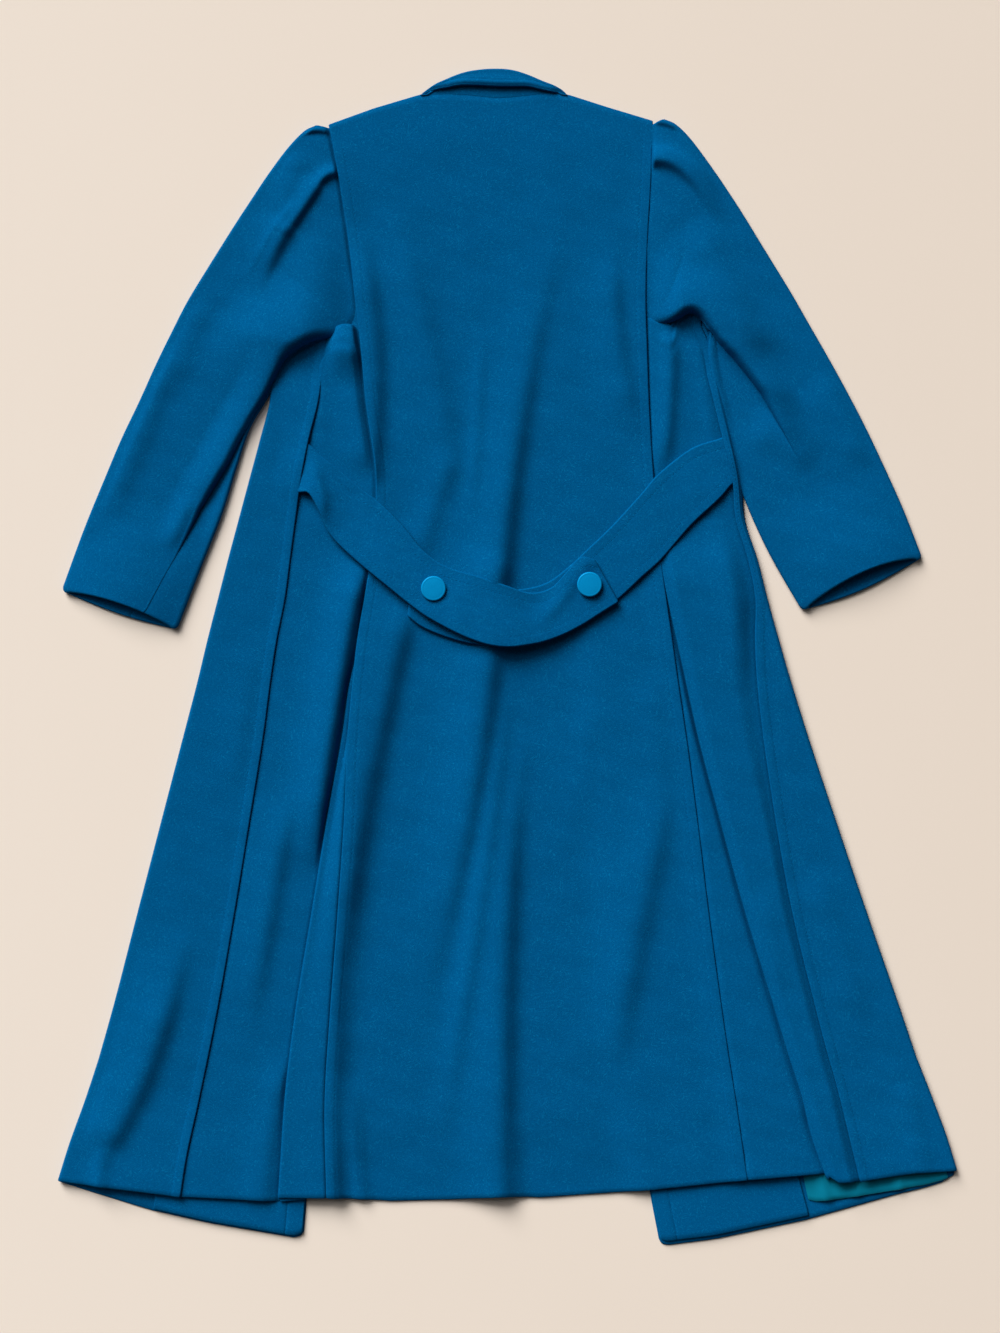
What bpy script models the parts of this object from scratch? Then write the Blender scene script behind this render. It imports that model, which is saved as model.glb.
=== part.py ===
"""Long wool coat laid flat on its front, back upwards.

Left and right are as seen from above, collar away from the viewer (+Y), hem near (-Y), surface at Z = 0.
Sizes are in millimetres in the tables and become metres when a mesh is made.
"""

import math

import bmesh
import bpy
import numpy as np
from mathutils import Vector
from mathutils.bvhtree import BVHTree

MM = 0.001
CLOTH = 2.0
FACING_CLOTH = 1.5
LINING_CLOTH = 1.0
BELT_CLOTH = 2.4
SEAM_GAP = 0.3
LAP_GAP = 0.6
LAY_GAP = 0.5
COAT_BLUE = (0.006, 0.089, 0.238, 1.0)
BUTTON_BLUE = (0.006, 0.228, 0.503, 1.0)
LINING_TEAL = (0.004, 0.205, 0.242, 1.0)

# Heights of the layers' middle surfaces above the surface that the coat lies on.
FLOOR_LAYER = CLOTH / 2
FACING_LAYER = CLOTH + SEAM_GAP + FACING_CLOTH / 2
LINING_LAYER = CLOTH + SEAM_GAP + LINING_CLOTH / 2
SIDE_LAYER = 5.6
STRIP_LAYER = SIDE_LAYER + 1.2
VALLEY_LAYER = SIDE_LAYER - 0.4
BACK_REST = 2.2
NECK_LAYER = 4.2
COLLAR_LAYER = 5.8
LAP_STEP = 1.2

PLEAT_RADIUS = 1.3
PLEAT_STEP = 2 * PLEAT_RADIUS
SLEEVE_RADIUS = 2.3
COLLAR_RADIUS = 2.4
FACING_INSET = 1.0
FACING_HEM_RISE = 2.5
LINING_FOLD_GAP = 9.0

SHOULDER_LEVEL = 600.0
SHOULDER_BLEND = 520.0
HEM_BLEND = -450.0
HEM_LEVEL = -605.0
UNDERARM_LEVEL = 372.0
LEFT_PLEAT_TOP = -30.0
RIGHT_PLEAT_TOP = 155.0
LINING_TOP = -290.0
NECK_SETTLE = 560.0
STRIP_HEM = -605.5
PLEAT_HEM = -579.0
FLAP_CORNER_HEM = -584.0
BUTTON_RADIUS = 14.0
BUTTON_STEPS = 20
BELT_PATCH = 13.0
BUTTON_CENTRES = {"left_button": (-82.7, 77.0), "right_button": (91.7, 81.6)}


def table(columns, *rows):
    """Named columns of a short table, a row for each section or fold."""
    return dict(zip(columns.split(), np.array(rows, float).T))


LEVELS = np.array([600, 575, 540, 505, 470, 435, 400, 372, 350, 320, 290, 245, 200, 155, 110, 65, 20, -30,
                   -80, -130, -180, -235, -290, -345, -400, -450, -500, -545, -580, -605], float)

# The centre back's two long edges, and how high each lies over the panel beside it.
BACK = table(
    "level left right left_height right_height",
    (600, -200, 162.5, 4.2, 4.2),
    (540, -189, 160.5, 7.0, 7.0),
    (470, -178, 156.5, 7.2, 7.2),
    (400, -170, 154.5, 8.4, 8.4),
    (350, -164, 156, 8.0, 8.0),
    (290, -158.5, 158, 7.0, 7.0),
    (200, -147, 163.5, 6.8, 6.8),
    (110, -153, 171.5, 7.2, 6.8),
    (65, -160, 177.5, 9.4, 6.6),
    (20, -167.5, 184, 12.6, 6.6),
    (-30, -173, 191, 13.8, 6.6),
    (-80, -177.5, 198.5, 13.6, 6.6),
    (-180, -182, 212, 12.4, 6.6),
    (-290, -189.5, 225.5, 10.4, 6.6),
    (-400, -198, 240.5, 7.8, 6.6),
    (-500, -204, 255, 7.0, 6.6),
    (-605, -202, 268.3, 7.0, 6.6),
)

# Outline folds, lapped side seams and pleat folds from the underarm down; pleat depth is the hidden part.
SIDES = table(
    "level left_fold left_seam left_pleat left_depth right_pleat right_depth right_seam right_fold",
    (372, -210, -201, -160, 6, 160, 6, 208, 217),
    (350, -232, -204.5, -160, 6, 160, 6, 217.5, 226.5),
    (335, -242, -206.5, -160, 6, 160, 6, 221, 230),
    (312, -256, -209.5, -160, 6, 162, 6, 226, 235),
    (290, -266, -212.5, -158, 6, 162, 6, 231.5, 240.5),
    (245, -277, -223.5, -155, 6, 164, 6, 242, 251),
    (200, -289, -232, -150, 6, 166, 6, 253, 259.5),
    (155, -301, -238.5, -150, 6, 169, 6, 257, 265),
    (110, -313, -244.5, -152, 6, 173.5, 8, 270.5, 280),
    (65, -324.5, -250.5, -157, 6, 182, 11, 279, 291.5),
    (20, -336, -259.5, -163, 6, 192, 14, 278.5, 304),
    (-30, -348, -267, -175, 6, 203, 17, 281, 318.5),
    (-80, -361, -273.5, -182, 7, 214, 20, 286.5, 334),
    (-180, -387, -289.5, -200, 10, 240, 24, 301, 367),
    (-290, -415.5, -307.5, -218, 16, 270, 26, 321, 404),
    (-400, -444, -327, -236, 22, 303.5, 24, 348, 442),
    (-500, -473, -347.5, -248, 25, 332.5, 20, 373.5, 475),
    (-560, -492, -360.5, -252, 26, 345.5, 16, 386, 493),
    (-605, -504.1, -367.5, -255, 26, 360, 12, 395.5, 504),
)

# Front edges and front armholes of the layer that lies on the surface, and the facings' width.
FRONTS = table(
    "level left_edge left_armhole right_armhole right_edge facing_width",
    (600, -89, -198, 161, 61, 50),
    (540, -96, -192, 159, 66, 56),
    (470, -104, -187, 158, 72, 62),
    (435, -108, -187, 160, 75, 66),
    (400, -112, -193, 178, 78, 70),
    (372, -116, -207, 214, 80, 72),
    (110, -146, -207, 214, 103, 92),
    (-180, -180, -207, 214, 126, 124),
    (-450, -211.5, -207, 214, 147, 156),
    (-560, -225, -207, 214, 160, 164),
    (-605, -230, -207, 214, 171, 166),
)

# Top line of back and fronts: shoulder slopes and the shallow back neck.
SHOULDER = table(
    "x top", (-200, 598), (-150, 616), (-98, 631.5), (-60, 630), (0, 629), (40, 630.5), (68, 631.5),
    (110, 618), (163, 602))

# Hem of the layers seen from above, then of the fronts that lie on the surface.
UPPER_HEM = table(
    "x hem", (-505, -587), (-367, -604.5), (-252, -610), (-202, -605), (-130, -610), (-60, -608), (-8, -604),
    (36, -606), (104, -601.5), (150, -598), (268, -585.5), (355, -578), (372, -590), (395, -588.5),
    (504, -577.5))
LEFT_LOWER_HEM = table("x hem", (-505, -588), (-470, -599), (-402, -620), (-335, -635), (-230, -653))
RIGHT_LOWER_HEM = table("x hem", (171, -660), (233, -653), (335, -631.5), (436, -604), (504, -579))
LINING_HEM_RISE = table("x rise", (330, 30), (345, 22), (400, 16), (495, 7))

# Soft folds: a curve through start, bend and end, its height (troughs are negative) and its half width.
FOLD_COLUMNS = "start_x start_y bend_x bend_y end_x end_y height width"
BACK_FOLDS = table(
    FOLD_COLUMNS,
    (44, 470, -30, 300, -22, 80, 6.0, 16),
    (62, 462, -6, 300, -4, 80, -1.0, 11),
    (90, 450, 40, 320, 44, 110, 4.0, 26),
    (-80, 330, -34, 235, -72, 160, 3.5, 15),
    (112, 400, 124, 320, 142, 215, 2.5, 10),
    (-140, 470, -122, 370, -118, 270, 3.0, 12),
    (-26, 20, -40, -100, -58, -230, 4.5, 13),
    (-24, -80, -42, -330, -6, -640, 7.0, 17),
    (16, -70, -18, -330, 22, -640, -1.0, 14),
    (-90, 40, -112, -90, -140, -240, 4.0, 14),
    (110, 10, 108, -90, 98, -200, 3.0, 14),
    (168, -180, 132, -330, 104, -470, 4.0, 14),
    (70, -330, 66, -470, 72, -640, 3.0, 30),
)
SIDE_FOLDS = table(
    FOLD_COLUMNS,
    (-176, 350, -172, 290, -166, 215, 2.5, 8),
    (-186, 80, -202, -40, -236, -190, 4.0, 13),
    (-300, -180, -290, -330, -300, -470, 3.0, 20),
    (-330, -380, -320, -480, -330, -640, 2.5, 18),
    (186, 360, 190, 290, 206, 230, 2.5, 10),
)
LEFT_SLEEVE_FOLDS = table(
    FOLD_COLUMNS,
    (-208, 548, -262, 490, -306, 395, 5.0, 13),
    (-200, 505, -232, 460, -262, 400, 3.5, 14),
    (-222, 592, -232, 560, -246, 535, 2.0, 7),
    (-210, 592, -214, 570, -220, 550, 2.0, 6),
    (-350, 320, -372, 250, -385, 180, 2.0, 16),
)
RIGHT_SLEEVE_FOLDS = table(
    FOLD_COLUMNS,
    (172, 575, 246, 580, 262, 455, 5.0, 12),
    (184, 535, 212, 520, 222, 460, 3.5, 14),
    (186, 596, 190, 580, 200, 566, 2.0, 6),
    (255, 375, 296, 310, 318, 260, 3.0, 14),
    (292, 372, 340, 310, 366, 250, 2.5, 14),
)

# Sleeve stations from head to cuff: ends of each station, back seam and front seam as shares of the way in.
SLEEVE_COLUMNS = "outer_x outer_y inner_x inner_y back_seam front_seam inner_height loft"
LEFT_SLEEVE = table(
    SLEEVE_COLUMNS,
    (-215, 597, -199.9, 594, 1, 1, 4.4, 0.0),
    (-230, 589, -192.6, 555, 1, 1, 5.6, 0.6),
    (-256, 560, -184.4, 507, 1, 1, 5.8, 1.4),
    (-290, 510, -177.0, 455, 1, 1, 6.2, 1.8),
    (-320, 461, -170.9, 400, 1, 1, 7.6, 1.8),
    (-341, 430, -184, 372, 1, 1, 10.2, 1.2),
    (-358, 402, -212, 367, 1, 1, 10.8, 0.6),
    (-368, 383, -232, 355, 1, 1, 9.8, 0.6),
    (-377, 364, -247, 334, 0.94, 0.95, 5.6, 0.8),
    (-395, 327, -269.5, 293, 0.94, 0.80, 5.6, 0.8),
    (-413, 287, -290, 258, 0.93, 0.64, 5.6, 0.8),
    (-433, 245, -305.5, 213, 0.90, 0.60, 5.6, 0.8),
    (-453, 197.5, -322, 160, 0.81, 0.60, 5.6, 0.8),
    (-475, 143.5, -345, 102, 0.78, 0.60, 5.6, 1.0),
    (-500, 75, -372, 32, 0.72, 0.60, 5.6, 1.4),
)
RIGHT_SLEEVE = table(
    SLEEVE_COLUMNS,
    (176, 604, 163.4, 598, 1, 1, 4.4, 0.0),
    (191, 597, 162, 560, 1, 1, 5.6, 0.6),
    (214, 571, 159.4, 509, 1, 1, 5.8, 1.4),
    (248, 522.5, 156.6, 453, 1, 1, 6.2, 1.8),
    (281, 470, 155.4, 402, 1, 1, 7.6, 1.8),
    (290, 457, 174, 381, 1, 1, 10.2, 1.2),
    (314, 416, 206, 394, 1, 1, 11.6, 0.6),
    (328, 392, 226, 379, 1, 1, 10.6, 0.6),
    (338, 374, 229, 357, 0.90, 0.95, 5.6, 0.8),
    (357, 341, 237, 328, 0.81, 0.80, 5.6, 0.8),
    (377.5, 304, 246, 290, 0.68, 0.64, 5.6, 0.8),
    (399, 263, 257, 239, 0.60, 0.60, 5.6, 0.8),
    (420, 219, 266.5, 180, 0.51, 0.60, 5.6, 0.8),
    (443, 168, 294, 119, 0.53, 0.60, 5.6, 1.0),
    (465, 112, 331.5, 53.5, 0.60, 0.60, 5.6, 1.4),
)
ARMHOLE_LEVELS = (594, 555, 507, 455, 412, 394, 382, 373)
ARMHOLE_GAP = 5.0
CUFF_RISE = {"left": 8.0, "right": 16.0}
CUFF_DROP = {"left": 6.0, "right": 8.0}

# Collar along its width: neck seam, folded top line and the fall's free edge.
COLLAR_SEAM = {"stand": 4.4, "fall": 2.9}
COLLAR = table(
    "x neck fold edge",
    (-95, 632, 638.5, 633.5), (-82, 631.5, 644, 638), (-65, 630.8, 651, 642.5), (-48, 630.3, 657.5, 645),
    (-31, 629.8, 659.4, 644), (-8, 629.5, 659.9, 643), (14, 629.8, 657.5, 644), (37, 630.8, 649.5, 642),
    (53, 631.5, 642, 637), (65, 632, 637.5, 633))

# Belt halves: ends of each section across the belt, top edge then lower edge, from the side seam inwards.
BELT_COLUMNS = "top_x top_y low_x low_y"
LEFT_BELT = table(
    BELT_COLUMNS,
    (-224, 239, -233.6, 186), (-194, 213, -213, 161), (-164, 188, -189, 128), (-144, 173, -165, 106),
    (-117.5, 146, -137, 83), (-94, 118, -108.5, 60), (-69, 101, -84, 43), (-32, 89.5, -42, 22),
    (-5, 80.5, -7, 13), (25, 71.5, 28.5, 16), (49, 77, 56, 24), (66, 94, 81.5, 36.5), (81.5, 111, 103, 50),
    (97, 109, 123, 62.5))
RIGHT_BELT = table(
    BELT_COLUMNS,
    (241, 246, 252.5, 196), (206, 233, 236, 178), (170, 205, 205, 149), (151, 183, 172, 111),
    (118, 147, 150, 91), (92, 122, 123, 66), (66, 98, 88, 41), (40, 81, 55, 24), (5, 75, 10, 14),
    (-32, 82, -30, 15), (-66, 94, -62, 22), (-94, 100, -94, 34.5), (-106, 95, -111, 47))
BUTTON_PROFILE = table(
    "radius height",
    (0, 4.4), (7.5, 4.1), (11.2, 3.3), (12.2, 3.8), (13.3, 3.5), (BUTTON_RADIUS, 2.2), (13.2, 0.7),
    (11.5, 0), (0, 0))


def smoothstep(share):
    """Ease from 0 to 1 with level ends."""
    share = np.clip(share, 0, 1)
    return share * share * (3 - 2 * share)


def along(at, sizes, column, key="level"):
    """Size at a place, on a smooth curve through the rows of a table."""
    order = np.argsort(sizes[key])
    knots, values = sizes[key][order], sizes[column][order]
    slopes = np.gradient(values, knots)
    at = np.clip(at, knots[0], knots[-1])
    start = np.clip(np.searchsorted(knots, at, side="right") - 1, 0, len(knots) - 2)
    span = knots[start + 1] - knots[start]
    share = (at - knots[start]) / span
    ease = smoothstep(share)
    leave = slopes[start] * span * share * (1 - share) ** 2
    arrive = slopes[start + 1] * span * share ** 2 * (share - 1)
    return values[start] * (1 - ease) + values[start + 1] * ease + leave + arrive


def across(x, sizes, column):
    """Size at a place across the coat, on straight runs between the rows of a table."""
    return np.interp(x, sizes["x"], sizes[column])


def row_line(level, top, hem):
    """Y of a row: its level, stretched to meet the shoulder line above and the hem below."""
    upper = (level - SHOULDER_BLEND) / (SHOULDER_LEVEL - SHOULDER_BLEND)
    lower = (level - HEM_BLEND) / (HEM_LEVEL - HEM_BLEND)
    above = SHOULDER_BLEND + upper * (top - SHOULDER_BLEND)
    below = HEM_BLEND + lower * (hem - HEM_BLEND)
    return np.where(level > SHOULDER_BLEND, above, np.where(level < HEM_BLEND, below, level))


def fold_relief(x, y, folds):
    """Sum of soft folds: each a bell across its curve that dies away at both ends."""
    steps = np.linspace(0, 1, 25)
    weights = {"start": (1 - steps) ** 2, "bend": 2 * steps * (1 - steps), "end": steps ** 2}
    relief = np.zeros(np.broadcast(x, y).shape)
    for row in range(len(folds["height"])):
        fold = {name: column[row] for name, column in folds.items()}
        line_x = sum(weight * fold[spot + "_x"] for spot, weight in weights.items())
        line_y = sum(weight * fold[spot + "_y"] for spot, weight in weights.items())
        distance = np.hypot(x[..., None] - line_x, y[..., None] - line_y)
        nearest = steps[distance.argmin(axis=-1)]
        bell = np.exp(-(distance.min(axis=-1) / fold["width"]) ** 2)
        relief += fold["height"] * bell * np.sin(math.pi * nearest) ** 0.5
    return relief


def finish(name, colour, roughness):
    """Plain surface of one cloth or button."""
    made = bpy.data.materials.new(name)
    made.use_nodes = True
    shader = made.node_tree.nodes["Principled BSDF"]
    shader.inputs["Base Color"].default_value = colour
    shader.inputs["Roughness"].default_value = roughness
    shader.inputs["Metallic"].default_value = 0.0
    return made


def wall(name, x, y, z, thick, kept=None, upright=False):
    """Closed cloth wall about a grid of middle points; kept marks the cells that are cloth.

    An upright wall is thickened straight up and down, so that its edges stand square at abutting seams.
    Each bent cell is split along the diagonal whose ends lie nearer in height, so that ridges stay whole.
    """
    middle = np.stack(np.broadcast_arrays(x, y, z), axis=-1)
    if upright:
        out = np.broadcast_to([0.0, 0.0, 1.0], middle.shape)
    else:
        out = np.cross(np.gradient(middle, axis=1), np.gradient(middle, axis=0))
        out = out / np.linalg.norm(out, axis=-1, keepdims=True)
    rows, columns = middle.shape[:2]
    kept = np.ones((rows - 1, columns - 1), bool) if kept is None else kept
    sides = (middle + out * thick / 2) * MM, (middle - out * thick / 2) * MM
    mesh = bmesh.new()
    corners = [{}, {}]

    def corner(side, row, column):
        if (row, column) not in corners[side]:
            corners[side][row, column] = mesh.verts.new(sides[side][row, column])
        return corners[side][row, column]

    edges = {}
    for row, column in zip(*np.nonzero(kept)):
        ring = [(row, column), (row, column + 1), (row + 1, column + 1), (row + 1, column)]
        for start, end in zip(ring, ring[1:] + ring[:1]):
            edges[start, end] = True
        heights = [middle[spot][2] for spot in ring]
        if abs(heights[0] - heights[2]) > abs(heights[1] - heights[3]):
            ring = ring[1:] + ring[:1]
        for half in (ring[:3], [ring[0], ring[2], ring[3]]):
            mesh.faces.new([corner(0, *spot) for spot in half])
            mesh.faces.new([corner(1, *spot) for spot in reversed(half)])
    for start, end in edges:
        if (end, start) not in edges:
            mesh.faces.new([corner(0, *end), corner(0, *start), corner(1, *start), corner(1, *end)])
    bmesh.ops.recalc_face_normals(mesh, faces=mesh.faces)
    return place(name, mesh)


def place(name, mesh):
    """Named object of a finished mesh, in the coat's collection."""
    data = bpy.data.meshes.new(name)
    mesh.to_mesh(data)
    mesh.free()
    made = bpy.data.objects.new(name, data)
    coat.objects.link(made)
    return made


def back_height(x, y):
    """Height of the centre back: low between the fronts, up over them, up again to its lapped edges."""
    lead, slope = 50, 45
    over_left = smoothstep((along(y, FRONTS, "left_edge") - x + lead) / slope)
    over_right = smoothstep((x - along(y, FRONTS, "right_edge") + lead) / slope)
    base = BACK_REST + (SIDE_LAYER - BACK_REST) * np.maximum(over_left, over_right)
    folds = fold_relief(x, y, BACK_FOLDS)
    rise = 0
    inset = {"left": x - along(y, BACK, "left"), "right": along(y, BACK, "right") - x}
    for side, reach in (("left", 38), ("right", 30)):
        rise = rise + (along(y, BACK, side + "_height") - base) * smoothstep(1 - inset[side] / reach)
        folds = folds * smoothstep(inset[side] / (0.7 * reach))
    return base + rise + folds


def back_panel():
    """Centre back from shoulder line and neck to hem."""
    level = LEVELS[:, None]
    share = np.linspace(0, 1, 29)[None, :]
    left, right = along(level, BACK, "left"), along(level, BACK, "right")
    x = left + (right - left) * share
    y = row_line(level, across(x, SHOULDER, "top"), across(x, UPPER_HEM, "hem"))
    settle = smoothstep((level - NECK_SETTLE) / (SHOULDER_LEVEL - NECK_SETTLE))
    z = back_height(x, np.clip(y, HEM_LEVEL, SHOULDER_LEVEL))
    z = z + (NECK_LAYER - z) * settle
    return wall("back_panel", x, y, z, CLOTH, upright=True)


def front(side):
    """Front: flat on the surface from its edge, round the outline fold, and back on top to the side seam."""
    outward = -1 if side == "left" else 1
    level = LEVELS[:, None]
    edge = along(level, FRONTS, side + "_edge")
    fold = along(level, SIDES, side + "_fold")
    seam = along(level, SIDES, side + "_seam")
    radius = (STRIP_LAYER - FLOOR_LAYER) / 2
    has_strip = level <= UNDERARM_LEVEL
    turn_in = fold - outward * radius
    flat_end = np.where(has_strip, turn_in, along(level, FRONTS, side + "_armhole"))
    flat_share, strip_share = np.linspace(0, 1, 5)[None, :], np.linspace(0, 1, 3)[None, :]
    turn = np.radians(np.linspace(-90, 90, 7)[1:-1])[None, :]
    flat_x = edge + (flat_end - edge) * flat_share
    turned_x = np.hstack([
        turn_in + outward * radius * np.cos(turn),
        turn_in + (seam + outward * SEAM_GAP - turn_in) * strip_share])
    x = np.hstack([flat_x, turned_x])
    rows = np.ones_like(level)
    z = np.hstack([
        FLOOR_LAYER * rows + 0 * flat_share,
        rows * (FLOOR_LAYER + radius + radius * np.sin(turn)),
        STRIP_LAYER * rows + 0 * strip_share])
    lower_hem = LEFT_LOWER_HEM if side == "left" else RIGHT_LOWER_HEM
    hem = np.hstack([across(flat_x, lower_hem, "hem"), across(turned_x, UPPER_HEM, "hem")])
    y = row_line(level, across(x, SHOULDER, "top") - LAY_GAP, hem)
    kept = np.ones((len(LEVELS) - 1, x.shape[1] - 1), bool)
    kept[:, flat_share.size - 1:] = has_strip[:-1]
    return wall(side + "_front", x, y, z, CLOTH, kept)


def facing(side):
    """Facing: a strip on the front's inner face along its edge, from hem to shoulder."""
    outward = -1 if side == "left" else 1
    level = LEVELS[1:, None]
    share = np.linspace(0, 1, 4)[None, :]
    edge = along(level, FRONTS, side + "_edge") + outward * FACING_INSET
    x = edge + outward * along(level, FRONTS, "facing_width") * share
    lower_hem = LEFT_LOWER_HEM if side == "left" else RIGHT_LOWER_HEM
    y = row_line(level, across(x, SHOULDER, "top"), across(x, lower_hem, "hem") + FACING_HEM_RISE)
    return wall(side + "_facing", x, y, np.full(x.shape, FACING_LAYER), FACING_CLOTH, upright=True)


def right_lining():
    """Lining inside the right front, beyond its facing, above the turned-up hem."""
    level = LEVELS[LEVELS <= LINING_TOP][:, None]
    share = np.linspace(0, 1, 6)[None, :]
    facing_end = along(level, FRONTS, "right_edge") + FACING_INSET + along(level, FRONTS, "facing_width")
    start = facing_end + SEAM_GAP
    end = along(level, SIDES, "right_fold") - LINING_FOLD_GAP
    x = start + (end - start) * share
    hem = across(x, RIGHT_LOWER_HEM, "hem") + across(x, LINING_HEM_RISE, "rise")
    y = row_line(level, SHOULDER_LEVEL, hem)
    return wall("right_lining", x, y, np.full(x.shape, LINING_LAYER), LINING_CLOTH, upright=True)


def pleat_turn(centre, way):
    """Half turn of a pressed pleat fold, bulging towards +X (way 1) or -X (way -1): X and rise."""
    turn = np.radians(np.linspace(-90, 90, 5)[1:-1])[None, :]
    x = centre + way * PLEAT_RADIUS * np.cos(turn)
    return x, PLEAT_RADIUS * (1 + np.sin(turn)) + 0 * x


def left_side_back():
    """Left side back: its strip beside the centre back is pleated over the rest from below the belt."""
    level = LEVELS[LEVELS <= UNDERARM_LEVEL][:, None]
    seam, back = along(level, SIDES, "left_seam"), along(level, BACK, "left") - LAP_GAP
    pleat, depth = along(level, SIDES, "left_pleat"), along(level, SIDES, "left_depth")
    pleated = level <= LEFT_PLEAT_TOP
    deep = pleat + depth

    # Main part from the side seam, then the two turns of the pleat, then the strip on top.
    under_end = np.where(pleated, deep, back)
    main_x = seam + (under_end - seam) * np.linspace(0, 1, 8)[None, :]
    deep_x, deep_rise = pleat_turn(deep, 1)
    under_x = deep + (pleat - deep) * np.linspace(0, 1, 3)[None, :]
    edge_x, edge_rise = pleat_turn(pleat, -1)
    strip_end = np.maximum(back, pleat + 5)
    strip_x = pleat + (strip_end - pleat) * np.linspace(0, 1, 5)[None, :]

    relief = fold_relief(main_x, level + 0 * main_x, SIDE_FOLDS)
    relief = relief * smoothstep((main_x - seam) / 20) * smoothstep((under_end - main_x) / 14)
    relief = relief * (1 - pleated * smoothstep((main_x - pleat + 16) / 10))
    strip_top = SIDE_LAYER + 2 * PLEAT_STEP
    strip_low = np.clip(along(level, BACK, "left_height") - LAP_STEP, SIDE_LAYER, strip_top)
    towards_back = smoothstep((strip_x - deep - 2) / np.maximum(back - deep - 2, 6))
    x = np.hstack([main_x, deep_x, under_x, edge_x, strip_x])
    z = np.hstack([
        SIDE_LAYER + relief, SIDE_LAYER + deep_rise, SIDE_LAYER + PLEAT_STEP + 0 * under_x,
        SIDE_LAYER + PLEAT_STEP + edge_rise, strip_top + (strip_low - strip_top) * towards_back])

    hem = across(x, UPPER_HEM, "hem")
    hem[:, -edge_x.shape[1] - strip_x.shape[1]:] = STRIP_HEM
    kept = np.ones((len(level) - 1, x.shape[1] - 1), bool)
    kept[:, main_x.shape[1] - 1:] = pleated[:-1]
    return wall("left_side_back", x, row_line(level, SHOULDER_LEVEL, hem), z, CLOTH, kept)


def right_side_back():
    """Right side back: its wide part is pleated over a low strip beside the centre back."""
    level = LEVELS[LEVELS <= UNDERARM_LEVEL][:, None]
    seam, back = along(level, SIDES, "right_seam") - LAP_GAP, along(level, BACK, "right") + LAP_GAP
    pleat, depth = along(level, SIDES, "right_pleat"), along(level, SIDES, "right_depth")
    pleated = level <= RIGHT_PLEAT_TOP
    deep = pleat + depth

    # Low strip from the centre back, then the two turns of the pleat, then the flap on top.
    valley_x = back + (deep - back) * np.linspace(0, 1, 4)[None, :]
    deep_x, deep_rise = pleat_turn(deep, 1)
    under_x = deep + (pleat - deep) * np.linspace(0, 1, 3)[None, :]
    edge_x, edge_rise = pleat_turn(pleat, -1)
    flap_start = np.where(pleated, pleat, back)
    flap_x = flap_start + (seam - flap_start) * np.linspace(0, 1, 8)[None, :]

    relief = fold_relief(flap_x, level + 0 * flap_x, SIDE_FOLDS)
    relief = relief * smoothstep((seam - flap_x) / 20) * smoothstep((flap_x - flap_start) / 14)
    flap_top = np.where(pleated, VALLEY_LAYER + 2 * PLEAT_STEP, SIDE_LAYER)
    towards_seam = smoothstep((flap_x - deep - 3) / np.maximum(seam - deep - 5, 6))
    x = np.hstack([valley_x, deep_x, under_x, edge_x, flap_x])
    z = np.hstack([
        VALLEY_LAYER + 0 * valley_x, VALLEY_LAYER + deep_rise, VALLEY_LAYER + PLEAT_STEP + 0 * under_x,
        VALLEY_LAYER + PLEAT_STEP + edge_rise, flap_top + (SIDE_LAYER - flap_top) * towards_seam + relief])

    hem = across(x, UPPER_HEM, "hem")
    valley_end = valley_x.shape[1]
    edge_start = valley_end + deep_x.shape[1] + under_x.shape[1]
    flap_column = edge_start + edge_x.shape[1]
    hem[:, valley_end:edge_start] = PLEAT_HEM
    hem[:, edge_start:flap_column + 1] = FLAP_CORNER_HEM
    kept = np.ones((len(level) - 1, x.shape[1] - 1), bool)
    kept[:, :flap_column] = pleated[:-1]
    return wall("right_side_back", x, row_line(level, SHOULDER_LEVEL, hem), z, CLOTH, kept)


def sleeve_top(share, stations, folds, x, y):
    """Height of a sleeve's upper layer along each station, from the outer fold inwards."""
    outer = FLOOR_LAYER + 2 * SLEEVE_RADIUS
    inner = stations["inner_height"][:, None]
    crown = stations["loft"][:, None] * np.sin(math.pi * np.clip(share, 0, 1))
    relief = fold_relief(x, y, folds) * smoothstep(share / 0.12) * smoothstep((1 - share) / 0.12)
    return outer + (inner - outer) * smoothstep(share) + crown + relief


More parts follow.
